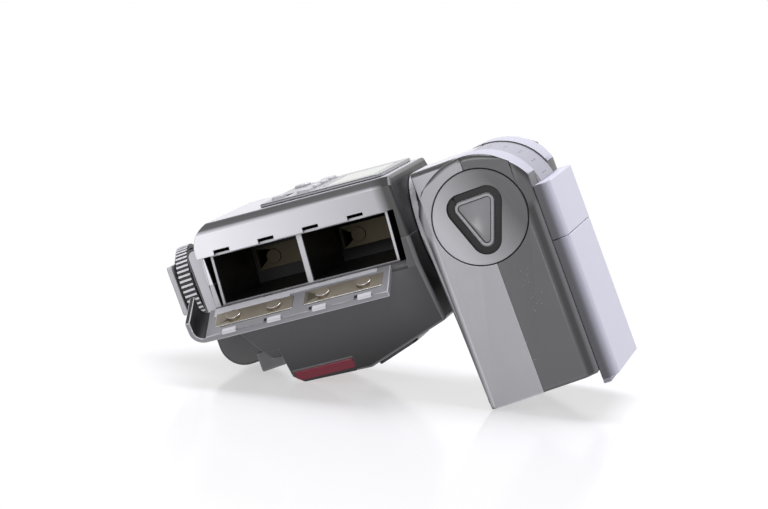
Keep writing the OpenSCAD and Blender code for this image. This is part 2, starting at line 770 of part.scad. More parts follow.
module clamp_ring() color("Gray") translate([0, 0, ring_z]) difference() {
    cylinder(r = clamp_ring_r, h = clamp_ring_t);
    translate([0, 0, -over]) cylinder(r = foot_neck_r + running, h = clamp_ring_t + 2 * over);
}

module lock_wheel() color("DarkSlateGray") translate([0, 0, wheel_z]) difference() {
    cylinder(r = wheel_r, h = wheel_t);
    translate([0, 0, -over]) cylinder(r = foot_neck_r + running, h = wheel_t + 2 * over);
    translate([0, 0, wheel_t - wheel_cup_t]) cylinder(r = wheel_r - wheel_rim, h = wheel_cup_t + over);
    for (i = [0 : wheel_grooves - 1]) rotate(360 * i / wheel_grooves)
        translate([wheel_r, 0, -over]) cylinder(r = wheel_groove_r, h = wheel_t + 2 * over);
}

module plinth() color("DimGray") difference() {
    across(plinth_w) polygon(concat(
        [[plinth_back, body_z]],
        arc_points([plinth_back - plinth_back_r, plinth_z + plinth_back_r], plinth_back_r, 0, -90, 6),
        arc_points([plinth_front_r - plinth_front, plinth_z + plinth_front_r], plinth_front_r, -90, -180),
        [[-plinth_front, body_z + slope_rise * (plinth_front - slope_start) / slope_run],
         [-slope_start, body_z]]));
    foot_screw_places() translate([0, 0, flange_z]) cylinder(r = foot_screw_r, h = foot_screw_l);
    terminal_pegs(terminal_peg_r + clear);
}

module back_shell() color("DimGray") difference() {
    intersection() {
        union() {
            difference() {
                body_form(0);
                body_form(wall);
            }
            intersection() {
                shell_columns();
                body_form(0);
            }
            leaned() for (x = [-boss_x, boss_x], v = [boss_low, boss_high])
                translate([x, inner_back - key_space, v])
                    rotate([-90, 0, 0]) cylinder(r = column_r / 2, h = key_space + wall / 2);
        }
        behind_parting();
    }
    door_space();
    hook_notches();
    shell_screw_set(shell_screw_r, shell_screw_head_r, over);
    lcd_hole(-lcd_frame);
    key_holes(clear);
    low_row_holes(clear);
}

module front_shell() color("DimGray") difference() {
    union() {
        intersection() {
            union() {
                difference() {
                    body_form(0);
                    body_form(wall);
                }
                intersection() {
                    shell_columns();
                    body_form(0);
                }
                intersection() {
                    hinge_rail();
                    main_form(wall / 2);
                }
            }
            before_parting();
        }
    }
    difference() {
        door_space();
        hinge_ears(knuckle_r);
    }
    hinge_ears(hinge_pin_r + running);
    shell_screw_set(shell_screw_r, shell_screw_head_r, over);
    af_space(0);
    on_bulge_slope() cube([sensor_w - 2 * sensor_lip, sensor_h - 2 * sensor_lip, 4 * wall], center = true);
    terminal_pegs(terminal_peg_r + running);
}

// Thicker wall behind the hinge channel
module hinge_rail() leaned() span(
    [-side_x, hinge_u - channel_r - wall / 2, -tray_half_v - tray_drop],
    [tray_x - clear, hinge_u + channel_r, tray_half_v - tray_drop]);

// Ears of the body around the hinge pin
module hinge_ears(r) leaned() for (v = ear_v) translate([hinge_x, hinge_u, v - ear_l / 2]) {
    cylinder(r = r, h = ear_l);
    if (r == knuckle_r) span([0, -channel_r, 0], [channel_r + over, knuckle_r, ear_l]);
}

module shell_screws() color("Silver") shell_screw_set(shell_screw_r, shell_screw_head_r, 0);

module battery_tray() color("Black") leaned() translate([0, 0, -tray_drop]) {
    difference() {
        span([tray_x, -tray_half_u, -tray_half_v], [tray_end_x, tray_half_u, tray_half_v]);
        for (s = [-1, 1]) translate([0, 0, s * (pocket_w + divider_t) / 2])
            span([tray_x - over, -pocket_h / 2, -pocket_w / 2],
                 [tray_x + pocket_l, pocket_h / 2, pocket_w / 2]);
    }
    for (s = [-1, 1]) translate([0, 0, s * tray_column_at]) rod_x(column_r, tray_end_x, side_x - wall);
    for (x = [-1, 1], v = [-1, 1])
        translate([x * (board_w / 2 - column_r), -tray_half_u, v * (board_h / 2 - column_r)])
            rotate([90, 0, 0]) cylinder(r = column_r, h = standoff_h);
}

// Strip with two raised buttons, one for each cell of a pocket, facing -X
module contact_strip() {
    span([-strip_t, -pocket_h / 4, strip_margin - pocket_w / 2],
         [0, pocket_h / 4, pocket_w / 2 - strip_margin]);
    for (s = [-1, 1]) translate([0, 0, s * cell_d / 2])
        rod_x(contact_button_r, -strip_t - contact_rise, -strip_t / 2);
}

module cell_contacts() color("Silver") leaned() for (s = [-1, 1])
    translate([tray_x + pocket_l, 0, s * (pocket_w + divider_t) / 2 - tray_drop]) contact_strip();

// Places its children as the door is stored: unlocked and swung open
module door_place() leaned() translate([hinge_x, hinge_u, -door_lock]) rotate([0, 0, door_open])
    translate([-hinge_x, -hinge_u, 0]) children();

// Outline (X, v) of the door's lower end, a quarter turn into the end wall
module door_end_outline() {
    polygon(concat(
        [[-side_x, door_end_centre[1]]],
        arc_points(door_end_centre, door_end_r, 180, 270),
        [[door_end_l - side_x, door_low_v], [door_end_l - side_x, door_low_v + door_end_t]],
        arc_points(door_end_centre, door_end_r - door_end_t, 270, 180)));
}

module battery_door() color("DimGray") door_place() difference() {
    union() {
        span([-side_x, -door_half_u, door_low_v + door_end_r],
             [door_t - side_x, door_half_u, door_high_v]);
        lengthwise(-door_half_u, door_half_u) door_end_outline();
        for (v = knuckle_v) translate([hinge_x, hinge_u, v - knuckle_l / 2]) {
            cylinder(r = knuckle_r, h = knuckle_l);
            span([-side_x - hinge_x, 0, 0], [knuckle_r / 2, knuckle_r + 2 * clear, knuckle_l]);
        }
        for (v = hook_v) span([door_t - side_x, door_half_u - hook_root, v - hook_l / 2],
                              [door_t - side_x + hook_t, hook_u, v + hook_l / 2]);
    }
    translate([hinge_x, hinge_u, -body_h]) cylinder(r = hinge_pin_r + running, h = 2 * body_h);
}

module door_hinge_pin() color("Silver") leaned()
    translate([hinge_x, hinge_u, knuckle_v[0] - knuckle_l / 2 - door_lock])
        cylinder(r = hinge_pin_r, h = knuckle_v[2] - knuckle_v[0] + knuckle_l);

module door_contacts() color("Silver") door_place() for (s = [-1, 1])
    translate([door_t - side_x, 0, s * (pocket_w + divider_t) / 2 - tray_drop])
        mirror([1, 0, 0]) contact_strip();

board_u = -tray_half_u - standoff_h;
module main_board() color("DarkGreen") leaned()
    translate([0, 0, -tray_drop])
        span([-board_w / 2, board_u - board_t, -board_h / 2], [board_w / 2, board_u, board_h / 2]);

module main_capacitor() color("MidnightBlue") leaned()
    translate([0, board_u - board_t - capacitor_r - face_gap, capacitor_at])
        rod_x(capacitor_r, -capacitor_l / 2, capacitor_l / 2);

module transformer() color("DarkOrange") leaned()
    translate([-transformer_size[0] / 2, board_u - board_t - transformer_size[1],
               transformer_at - transformer_size[2] / 2])
        cube(transformer_size);

module af_window() color("DarkRed") intersection() {
    difference() {
        bulge_form(0);
        bulge_form(wall);
    }
    af_space(0);
}

af_lamp_v = bulge_low_z + af_above + af_h / 2 - lean_z;
af_lamp_y = lean_plane_y(-body_front, bulge_low_z + af_above) - bulge_low_out + wall + clear;
module af_lamp() color("Maroon")
    translate([-af_lamp_size[0] / 2, af_lamp_y, lean_z + af_lamp_v - af_lamp_size[2] / 2])
        cube(af_lamp_size);

module sensor_window() color("Black") on_bulge_slope() {
    linear_extrude(height = sensor_t) rounded_rect(sensor_w, sensor_h, sensor_lip);
    translate([0, 0, -wall / 2])
        cube([sensor_w - 2 * sensor_lip, sensor_h - 2 * sensor_lip, wall], center = true);
}

module terminal_cover() color("DarkGray") {
    difference() {
        translate([-terminal_at - terminal_w / 2, terminal_y, terminal_z])
            cube([terminal_w, 2 * terminal_out, terminal_h]);
        body_form(0);
        plinth();
    }
    terminal_pegs(terminal_peg_r);
}

module back_panel() color("DimGray") difference() {
    leaned() translate([0, body_back, (panel_low + panel_high) / 2]) rotate([-90, 0, 0])
        linear_extrude(height = panel_t) rounded_rect(panel_w, panel_high - panel_low, panel_corner_r);
    lcd_hole(0);
    key_holes(clear);
    low_row_holes(clear);
}

module lcd_window() color("DarkSeaGreen") leaned() translate([0, body_back, lcd_at]) rotate([-90, 0, 0])
    linear_extrude(height = panel_t) rounded_rect(lcd_w, lcd_h, control_corner_r);

module lcd_module() color("SlateGray") leaned()
    span([-lcd_w / 2, lcd_back_u, lcd_at - lcd_h / 2], [lcd_w / 2, inner_back, lcd_at + lcd_h / 2]);

module key_board() color("DarkGreen") leaned() span(
    [-boss_x - column_r / 2, key_board_u, boss_low - column_r / 2],
    [boss_x + column_r / 2, key_board_u + board_t, lcd_at - lcd_h / 2 - face_gap]);

// A control that stands through the panel and is held by a flange inside the shell
module held_control(x, v, w, h) leaned() translate([x, 0, v]) rotate([-90, 0, 0]) {
    translate([0, 0, inner_back - face_gap - key_flange])
        linear_extrude(height = body_back + panel_t + key_proud - inner_back + face_gap + key_flange)
            rounded_rect(w, h, control_corner_r);
    translate([0, 0, inner_back - face_gap - key_flange])
        linear_extrude(height = key_flange) square([w + 4 * clear, h + 4 * clear], center = true);
}

module key_1() color("Gainsboro") held_control(key_x[0], key_at, key_w, key_h);
module key_2() color("Gainsboro") held_control(key_x[1], key_at, key_w, key_h);
module key_3() color("Gainsboro") held_control(key_x[2], key_at, key_w, key_h);
module key_4() color("Gainsboro") held_control(key_x[3], key_at, key_w, key_h);

module test_button() color("OrangeRed") leaned() translate([test_x, 0, low_row_at]) rotate([-90, 0, 0]) {
    translate([0, 0, inner_back - face_gap - key_flange])
        cylinder(r = test_r, h = body_back + panel_t + key_proud - inner_back + face_gap + key_flange);
    translate([0, 0, inner_back - face_gap - key_flange]) cylinder(r = test_r + 2 * clear, h = key_flange);
}

module power_switch() color("Gainsboro") held_control(switch_x, low_row_at, switch_w, switch_h);

module swivel_ring() color("Black") translate([0, tilt_y, body_top_z]) difference() {
    cylinder(r = swivel_r, h = swivel_h);
    translate([0, 0, -over]) cylinder(r = neck_shaft_r + running, h = swivel_h + 2 * over);
    translate([0, 0, -over]) cylinder(r = neck_flange_r + clear, h = neck_flange_t + clear + face_gap + over);
}

module neck() color("DarkGray") in_head() difference() {
    union() {
        translate([0, 0, body_top_z + face_gap - tilt_z]) cylinder(r = neck_flange_r, h = neck_flange_t);
        translate([0, 0, body_top_z + face_gap - tilt_z])
            cylinder(r = neck_shaft_r, h = swivel_h + 4 * clear);
        span([-neck_w / 2, -neck_front, swivel_top_z + clear - tilt_z], [neck_w / 2, drum_r, 0]);
        rod_x(drum_r, -neck_w / 2, neck_w / 2);
    }
    rod_x(axle_r, -neck_w, neck_w);
}

module tilt_axle() color("Silver") in_head() rod_x(axle_r, -axle_end, axle_end);

module axle_rings() color("Silver") in_head() for (s = [0, 1]) mirror([s, 0, 0]) difference() {
    rod_x(axle_ring_r, wall_x + clear, wall_x + clear + axle_ring_t);
    rod_x(axle_r, wall_x, head_w);
}

// Where the line from a low front point p touches the round back of radius r
function touch_point(p, r) = let (a = atan2(p[1], p[0]) + acos(r / norm(p))) r * [cos(a), sin(a)];

// Side outline of the head about the tilt axis, drawn in by d
module head_side(d) intersection() {
    low_front = [d - head_front, d - head_low];
    union() {
        circle(r = head_r - d);
        polygon([[0, 0], touch_point(low_front, head_r - d), low_front,
            [d - head_front, head_high - d], [0, head_high - d]]);
    }
    translate([-2 * head_front, -head_front]) square([4 * head_front, head_front + head_high - d]);
}

// Cross-section of the head, drawn in by d and open above its top and below its underside
function head_section(d) = both_sides([
    [half_head - head_edge - d, -2 * head_r],
    [half_head - head_edge - d, d - head_low - over],
    [half_head - d, d - head_low + head_edge],
    [half_head - d, head_high - head_shoulder - 0.4 * d],
    [half_head - head_shoulder - over - 0.4 * d, head_high + over]]);

module head_form(d) intersection() {
    across(2 * head_w) head_side(d);
    lengthwise(-2 * head_front, 2 * head_r) polygon(head_section(d));
}

// Slot between the cheeks, grown by g: square for the neck below the tilt axis, round for the drum above it
module neck_slot(g, below) {
    if (below) span([-slot_half - g, -slot_r - g, -2 * head_r], [slot_half + g, 2 * head_r, over]);
    else rod_x(slot_r + g, -slot_half - g, slot_half + g);
}

module head_screw_columns() for (s = [-1, 1])
    translate([s * head_screw_x, head_screw_y, -head_r]) cylinder(r = head_column_r, h = 2 * head_r);

module head_screw_set(down) for (s = [-1, 1]) translate([s * head_screw_x, head_screw_y, wall - head_low]) {
    cylinder(r = head_screw_r, h = head_screw_l);
    translate([0, 0, -down]) cylinder(r = head_screw_head_r, h = down);
}

module head_shell(below) difference() {
    union() {
        difference() {
            head_form(0);
            head_form(wall);
        }
        intersection() {
            head_form(0);
            union() {
                difference() {
                    neck_slot(slot_wall, below);
                    neck_slot(0, below);
                }
                head_screw_columns();
                span([-half_head, bulkhead_y - bulkhead_t, -head_r],
                     [half_head, bulkhead_y, head_r]);
            }
        }
    }
    neck_slot(0, below);
    rod_x(axle_r + running, -wall_x - over, wall_x + over);
    for (s = [0, 1]) mirror([s, 0, 0]) {
        rod_x(disc_r + disc_gap, half_head - disc_t, head_w);
        rod_x(disc_r - disc_ledge, half_head - wall - over, head_w);
        translate([rod_at, 0, -rod_drop]) rod_y(rod_r, carriage_y, bulkhead_y + over);
    }
    translate([screw_x, 0, screw_rise]) rod_y(rod_r + running, carriage_y, bulkhead_y + over);
    span([-window_w / 2, -2 * head_front, -window_h / 2],
         [window_w / 2, wall + over - head_front, window_h / 2]);
    head_screw_set(2 * head_r);
}

module head_lower_shell() color("Gray") in_head() intersection() {
    head_shell(true);
    span([-head_w, -2 * head_front, -2 * head_r], [head_w, 2 * head_r, 0]);
}

module head_upper_shell() color("DimGray") in_head() intersection() {
    head_shell(false);
    span([-head_w, -2 * head_front, 0], [head_w, 2 * head_r, 2 * head_r]);
}

// A side disc on the +X side
module side_disc() rod_x(disc_r, half_head - disc_t, half_head);

// Extrudes the release outline along X
module release_solid(r, x0, x1) translate([x0, 0, 0]) rotate([90, 0, 90])
    linear_extrude(height = x1 - x0) rounded_outline(release_corners, r);

module near_disc() color("Gray") in_head() difference() {
    mirror([1, 0, 0]) side_disc();
    release_solid(button_r + button_gap, -head_w, 0);
    release_solid(recess_r, -head_w, recess_t - half_head);
}

module far_disc() color("Gray") in_head() side_disc();

module tilt_release() color("DimGray") in_head() {
    release_solid(button_r, button_sunk - half_head, flange_x + button_flange_t);
    release_solid(button_flange_r, flange_x, flange_x + button_flange_t);
    translate([0, release_stem[0], release_stem[1]])
        rod_x(stem_r, flange_x, guide_x + guide_t - button_travel);
}

module release_guide() color("Silver") in_head() difference() {
    union() {
        rod_x(guide_r, guide_x, guide_x + guide_t);
        for (i = [0 : 2]) rotate([120 * i + 60, 0, 0]) translate([0, 0, guide_pillar_at])
            rod_x(guide_pillar_r, guide_x, -wall_x);
    }
    translate([0, release_stem[0], release_stem[1]]) rod_x(stem_r + running, -head_w, -wall_x);
}

// Coil of the release spring, as one unbroken tube from the guide to the flange
spring_x0 = flange_x + button_flange_t + spring_wire_r + running;
spring_x1 = guide_x - spring_wire_r - running;
spring_rings = 8;
spring_steps = spring_turns * spring_rings;
spring_sides = 6;
function spring_ring(i) = let (a = 360 * i / spring_rings,
                               x = spring_x0 + (spring_x1 - spring_x0) * i / spring_steps)
    [for (k = [0 : spring_sides - 1]) let (b = 360 * k / spring_sides, rr = spring_r + spring_wire_r * cos(b))
        [x + spring_wire_r * sin(b), rr * cos(a), rr * sin(a)]];
function spring_point(i, k) = i * spring_sides + k % spring_sides;
spring_faces = concat(
    [for (k = [1 : spring_sides - 2]) [0, k, k + 1]],
    [for (i = [0 : spring_steps - 1], k = [0 : spring_sides - 1])
        [spring_point(i, k), spring_point(i + 1, k), spring_point(i + 1, k + 1)]],
    [for (i = [0 : spring_steps - 1], k = [0 : spring_sides - 1])
        [spring_point(i, k), spring_point(i + 1, k + 1), spring_point(i, k + 1)]],
    [for (k = [1 : spring_sides - 2])
        [spring_point(spring_steps, 0), spring_point(spring_steps, k + 1), spring_point(spring_steps, k)]]);

// Least gap between neighbouring turns, measured on the tube's points
spring_least_gap = min([for (i = [0 : spring_steps - spring_rings])
    norm(spring_ring(i + spring_rings)[0] - spring_ring(i)[0])]) - 2 * spring_wire_r;
echo(spring_least_gap = spring_least_gap);

module release_spring() color("Silver") in_head() translate([0, release_stem[0], release_stem[1]])
    polyhedron(points = [for (i = [0 : spring_steps]) each spring_ring(i)],
               faces = spring_faces, convexity = 10);

// Cross-section of the top covers
module cover_section() polygon(both_sides([
    [cover_w / 2, head_high],
    [cover_w / 2, cover_top - cover_edge],
    [cover_w / 2 - cover_edge, cover_top]]));

module rear_top_cover() color("LightSteelBlue") in_head() difference() {
    lengthwise(-cover_seam, cover_back) cover_section();
    neck_slot(0, false);
}

module front_top_cover() color("LightSteelBlue") in_head() difference() {
    lengthwise(-head_front - cover_out, -cover_seam - cover_gap) cover_section();
    span([-panel_sheet_w / 2 - clear, -2 * head_front, head_high - over],
         [panel_sheet_w / 2 + clear, panel_sheet_l - head_front - cover_out + clear,
          sheet_z + panel_sheet_t + face_gap]);
}

module wide_panel() color("WhiteSmoke") in_head() {
    span([-panel_sheet_w / 2, -head_front - cover_out - face_gap, sheet_z],
         [panel_sheet_w / 2, panel_sheet_l - head_front - cover_out, sheet_z + panel_sheet_t]);
    span([-lip_w / 2, -head_front - cover_out - face_gap - lip_t, head_high - lip_drop],
         [lip_w / 2, -head_front - cover_out - face_gap, cover_top - cover_edge]);
}

module flash_window() color("WhiteSmoke") in_head() {
    span([-window_w / 2, window_back - window_flange_t - window_t, -window_h / 2],
         [window_w / 2, window_back, window_h / 2]);
    span([-window_w / 2 - window_flange, window_back - window_flange_t, -window_h / 2 - window_flange],
         [window_w / 2 + window_flange, window_back, window_h / 2 + window_flange]);
}

// Parabola of the reflector, from its apex forward, with its mouth reaching half height h
reflector_steps = 8;
function reflector_curve(h, l) =
    [for (i = [-reflector_steps : reflector_steps])
        [-l * pow(i / reflector_steps, 2), h * i / reflector_steps]];
reflector_y = carriage_y - carriage_t;
reflector_l = reflector_y - window_back - zoom_travel - reflector_spare;
tube_y = -pow(reflector_h / 2 - reflector_wall, 2) / (4 * reflector_l) - reflector_wall - tube_r / 2;

module reflector() color("Silver") in_head() translate([0, reflector_y, 0]) difference() {
    across(reflector_w) polygon(reflector_curve(reflector_h / 2, reflector_l));
    across(reflector_w - 2 * reflector_wall) translate([-reflector_wall, 0])
        polygon(reflector_curve(reflector_h / 2 - reflector_wall, reflector_l));
    translate([0, tube_y, 0]) rod_x(tube_r, -reflector_w, reflector_w);
}

module flash_tube() color("LightYellow") in_head() translate([0, reflector_y + tube_y, 0])
    rod_x(tube_r, -reflector_w / 2, reflector_w / 2);

// Places (X, Z) of the carriage's bushes: two on the guide rods and one on the lead screw
bush_places = [[-rod_at, -rod_drop], [rod_at, -rod_drop], [screw_x, screw_rise]];

module zoom_carriage() color("Black") in_head() difference() {
    union() {
        span([-rod_at - rod_r - bush_wall, reflector_y, -rod_drop],
             [rod_at + rod_r + bush_wall, carriage_y, screw_rise]);
        for (place = bush_places) translate([place[0], 0, place[1]])
            rod_y(rod_r + bush_wall, carriage_y - bush_l, carriage_y);
    }
    for (place = bush_places) translate([place[0], 0, place[1]])
        rod_y(rod_r + running, carriage_y - bush_l - over, carriage_y + over);
}

module zoom_rods() color("Silver") in_head() for (s = [-1, 1]) translate([s * rod_at, 0, -rod_drop])
    rod_y(rod_r, window_back, bulkhead_y);

module zoom_screw() color("Silver") in_head() translate([screw_x, 0, screw_rise])
    rod_y(rod_r, window_back + clear, bulkhead_y);

module zoom_motor() color("SlateGray") in_head() translate([screw_x, 0, screw_rise - motor_offset])
    rod_y(motor_r, bulkhead_y, bulkhead_y + motor_l);

module head_screws() color("Silver") in_head() head_screw_set(wall / 2);

foot();
foot_contacts();
foot_screws();
clamp_ring();
lock_wheel();
plinth();
back_shell();
front_shell();
shell_screws();
battery_tray();
cell_contacts();
battery_door();
door_hinge_pin();
door_contacts();
main_board();
main_capacitor();
transformer();
af_window();
af_lamp();
sensor_window();
terminal_cover();
back_panel();
lcd_window();
lcd_module();
key_board();
key_1();
key_2();
key_3();
key_4();
test_button();
power_switch();
swivel_ring();
neck();
tilt_axle();
axle_rings();
head_lower_shell();
head_upper_shell();
near_disc();
far_disc();
tilt_release();
release_guide();
release_spring();
rear_top_cover();
front_top_cover();
wide_panel();
flash_window();
reflector();
flash_tube();
zoom_carriage();
zoom_rods();
zoom_screw();
zoom_motor();
head_screws();
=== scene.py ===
import json
import math

import bmesh
import bpy
from mathutils import Matrix, Vector


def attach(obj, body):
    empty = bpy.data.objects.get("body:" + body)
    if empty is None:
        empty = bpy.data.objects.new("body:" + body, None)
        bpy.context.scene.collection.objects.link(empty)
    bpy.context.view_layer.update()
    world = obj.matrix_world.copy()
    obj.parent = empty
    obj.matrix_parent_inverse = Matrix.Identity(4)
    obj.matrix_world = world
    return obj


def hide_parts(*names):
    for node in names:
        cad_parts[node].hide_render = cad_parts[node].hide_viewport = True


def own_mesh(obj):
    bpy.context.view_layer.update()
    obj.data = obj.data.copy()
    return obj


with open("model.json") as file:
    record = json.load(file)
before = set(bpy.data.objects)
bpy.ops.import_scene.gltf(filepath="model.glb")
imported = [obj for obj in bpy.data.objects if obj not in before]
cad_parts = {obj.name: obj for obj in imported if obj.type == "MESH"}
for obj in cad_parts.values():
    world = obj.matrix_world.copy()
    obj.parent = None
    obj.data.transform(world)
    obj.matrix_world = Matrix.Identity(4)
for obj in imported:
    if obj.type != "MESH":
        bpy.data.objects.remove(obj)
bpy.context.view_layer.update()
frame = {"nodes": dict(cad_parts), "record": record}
MM = 0.001

# The photograph's frame in pixels, and the focal length in the same pixels
FRAME_W = 768
FRAME_H = 509
FOCAL_PX = 3400
SENSOR_MM = 36

# Directions of the view in the part's axes, and the near disc's pixel and scale
VIEW_RIGHT = Vector((0.1822, -0.3437, 0.9212))
VIEW_UP = Vector((0.1206, 0.9376, 0.3260))
VIEW_FORWARD = Vector((0.9758, -0.0517, -0.2122))
DISC_PX = (479.9, 217.2)
DISC_PX_PER_MM = 2.98

# Places shared with the solids, in millimetres
TILT_Y = -9.5
TILT_Z = 116.1
HALF_HEAD = 35.5

RECORD = frame["record"]
BODY_OF = {node: body for body, nodes in RECORD["behaviour"]["bodies"].items() for node in nodes}
SLOT_OF = {part["node"]: part["material_slot"] for part in RECORD["subparts"]}


# Shaders

class Wire:
    """A node's output; arithmetic on it adds Math nodes."""

    def __init__(self, finish, socket):
        self.finish = finish
        self.socket = socket

    def math(self, operation, first, second):
        return self.finish.node("ShaderNodeMath", {0: first, 1: second}, operation=operation)

    def __add__(self, other):
        return self.math("ADD", self, other)

    def __sub__(self, other):
        return self.math("SUBTRACT", self, other)

    def __rsub__(self, other):
        return self.math("SUBTRACT", other, self)

    def __mul__(self, other):
        return self.math("MULTIPLY", self, other)

    def __gt__(self, other):
        return self.math("GREATER_THAN", self, other)

    def __lt__(self, other):
        return self.math("LESS_THAN", self, other)

    __radd__ = __add__
    __rmul__ = __mul__


class Nodes:
    """A node tree in the making."""

    def __init__(self, tree):
        self.tree = tree

    def node(self, kind, inputs=None, output=0, **settings):
        """Adds a node, sets it, feeds its sockets and gives one of its outputs."""
        made = self.tree.nodes.new(kind)
        for key, value in settings.items():
            setattr(made, key, value)
        for key, value in (inputs or {}).items():
            self.feed(made.inputs[key], value)
        return Wire(self, made.outputs[output])

    def feed(self, socket, value):
        if isinstance(value, Wire):
            self.tree.links.new(value.socket, socket)
        else:
            socket.default_value = value


class Finish(Nodes):
    """A material in the making, with one Principled shader."""

    def __init__(self, name):
        self.material = bpy.data.materials.new(name)
        self.material.use_nodes = True
        super().__init__(self.material.node_tree)
        self.shader = self.tree.nodes["Principled BSDF"]
        self.output = self.tree.nodes["Material Output"]
        self.place = self.node("ShaderNodeTexCoord", output="Object")

    def surface(self, **sockets):
        """Feeds the shader's sockets, named with _ for a space."""
        for key, value in sockets.items():
            self.feed(self.shader.inputs[key.replace("_", " ")], value)
        return self.material

    def noise(self, size_mm, detail=3):
        """Noise from about 0 to 1 with features of that size."""
        scale = 1 / (size_mm * MM)
        return self.node("ShaderNodeTexNoise", {"Vector": self.place, "Scale": scale, "Detail": detail})

    def streaks(self, scale, detail):
        """Noise stretched to streaks; scale is in features per metre along each axis."""
        stretched = self.node("ShaderNodeMapping", {"Vector": self.place, "Scale": scale})
        return self.node("ShaderNodeTexNoise", {"Vector": stretched, "Scale": 1.0, "Detail": detail})

    def vector(self, operation, first, second, output="Vector"):
        return self.node("ShaderNodeVectorMath", {0: first, 1: second}, output=output, operation=operation)

    def between(self, length, span_mm):
        """Goes from 0 to 1 as a length passes a span, in millimetres."""
        start, end = (limit * MM for limit in span_mm)
        return self.node("ShaderNodeMapRange", {"Value": length, "From Min": start, "From Max": end})

    def ramp(self, direction, span_mm):
        """Goes from 0 to 1 over a span, in millimetres, along a direction."""
        return self.between(self.vector("DOT_PRODUCT", self.place, direction, "Value"), span_mm)

    def along(self, axis):
        """The place along one axis."""
        return self.node("ShaderNodeSeparateXYZ", {0: self.place}, output=axis)

    def side(self):
        """Distance from the middle plane."""
        return self.node("ShaderNodeMath", {0: self.along("X")}, operation="ABSOLUTE")

    def tilt_radius(self):
        """Distance from the tilt axis."""
        flat = self.vector("MULTIPLY", self.place, (0, 1, 1))
        axis = (0, TILT_Y * MM, TILT_Z * MM)
        return self.vector("DISTANCE", flat, axis, "Value")

    def blend(self, factor, low, high):
        """Mixes two colours."""
        return self.node("ShaderNodeMix", {0: factor, 6: low, 7: high}, output=2, data_type="RGBA")

    def fade_end(self, colour, end, tint):
        """Fades a colour into painted shade over a span of height; end holds the span, in millimetres, and
        the last level.
        """
        span_mm, level = end
        return self.blend(self.ramp((0, 0, 1), span_mm), colour, shade(level, tint))

    def bump(self, height, depth_mm):
        return self.node("ShaderNodeBump", {"Height": height, "Distance": depth_mm * MM})


# Features per metre of streaks along each axis, and of the rings on a disc
HAIRLINES_PER_M = (500, 9000, 500)
ROLLED_PER_M = (60, 60, 2500)
RINGS_PER_M = 2200

# Tints of the plastics
COOL = (0.985, 0.975, 1.04)
LAVENDER = (0.96, 0.95, 1.14)


def shade(level, tint=COOL):
    """A colour of that linear level and tint."""
    return (level * tint[0], level * tint[1], level * tint[2], 1)


def moulded(name, level, rough=0.42, tint=COOL, grain_mm=0.22, grain_deep=0.012, dust=0.18, gloss=0.5):
    """Moulded plastic: fine eroded grain, faint mottling, rubbed patches and sparse dust."""
    f = Finish(name)
    plain = f.blend(f.noise(16), shade(level * 0.95, tint), shade(level * 1.05, tint))
    specks = (f.noise(0.55, detail=0) > 0.8) * (f.noise(13, detail=1) > 0.6)
    colour = f.blend(specks * dust, plain, shade(0.6))
    roughness = rough - 0.06 + 0.12 * f.noise(7)
    grain = f.bump(f.noise(grain_mm, detail=2), grain_deep)
    return f.surface(Base_Color=colour, Roughness=roughness, Normal=grain, Specular_IOR_Level=gloss)


def painted_edge(name, level, rough=0.26, tint=COOL, gloss=0.5):
    """An edge finish whose level paints shade or a highlight on the rounded edges: glossier than the grained
    face, with pale nicks.
    """
    f = Finish(name)
    plain = f.blend(f.noise(9), shade(level * 0.85, tint), shade(level * 1.15, tint))
    nicks = (f.noise(0.8, detail=1) > 0.72) * (f.noise(8, detail=1) > 0.56)
    colour = f.blend(nicks * 0.3, plain, shade(min(1, 3 * level), tint))
    roughness = rough - 0.05 + 0.1 * f.noise(4)
    fine = f.bump(f.noise(0.4), 0.004)
    return f.surface(Base_Color=colour, Roughness=roughness, Normal=fine, Specular_IOR_Level=gloss)


def polished(name, colour, rough=0.1, clear=0.0, ior=1.49):
    """Polished pane or lens with hairline scratches."""
    f = Finish(name)
    hairlines = f.streaks(HAIRLINES_PER_M, detail=1) > 0.68
    dull = tuple(0.8 * channel for channel in colour[:3]) + (1,)
    tone = f.blend(f.noise(9), dull, colour)
    return f.surface(Base_Color=tone, Roughness=rough + 0.12 * hairlines, Transmission_Weight=clear, IOR=ior)


def half_smoked(name, clear_colour, smoked_colour, edge_mm, direction, rough=0.12):
    """A polished pane that is smoked before a soft edge along a direction and clear past it."""
    f = Finish(name)
    past = f.ramp(direction, edge_mm)
    tone = f.blend(past * (0.85 + 0.15 * f.noise(3)), smoked_colour, clear_colour)
    return f.surface(Base_Color=tone, Roughness=rough + 0.06 * f.noise(2))


def metal(name, colour, rough=0.28):
    """Rolled or turned metal with streaks and faint tarnish."""
    f = Finish(name)
    lines = f.streaks(ROLLED_PER_M, detail=4)
    tarnished = tuple(0.62 * channel for channel in colour[:3]) + (1,)
    tone = f.blend(f.noise(5) * 0.6, colour, tarnished)
    roughness = rough - 0.08 + 0.16 * lines
    return f.surface(Base_Color=tone, Metallic=1.0, Roughness=roughness, Normal=f.bump(lines, 0.006))


def graded(name, low, high, span_mm, direction=(0, 0, 1), rough=0.36, grain_deep=0.006, end=None):
    """Moulded plastic with painted light and shade: its tone goes from low to high over a span along a
    direction, and its end may fade into painted shade.
    """
    f = Finish(name)
    climb = f.ramp(direction, span_mm)
    colour = f.blend(climb * (0.9 + 0.1 * f.noise(14)), shade(low), shade(high))
    if end:
        colour = f.fade_end(colour, end, COOL)
    grain = f.bump(f.noise(0.3), grain_deep)
    return f.surface(Base_Color=colour, Roughness=rough - 0.05 + 0.1 * f.noise(7), Normal=grain)


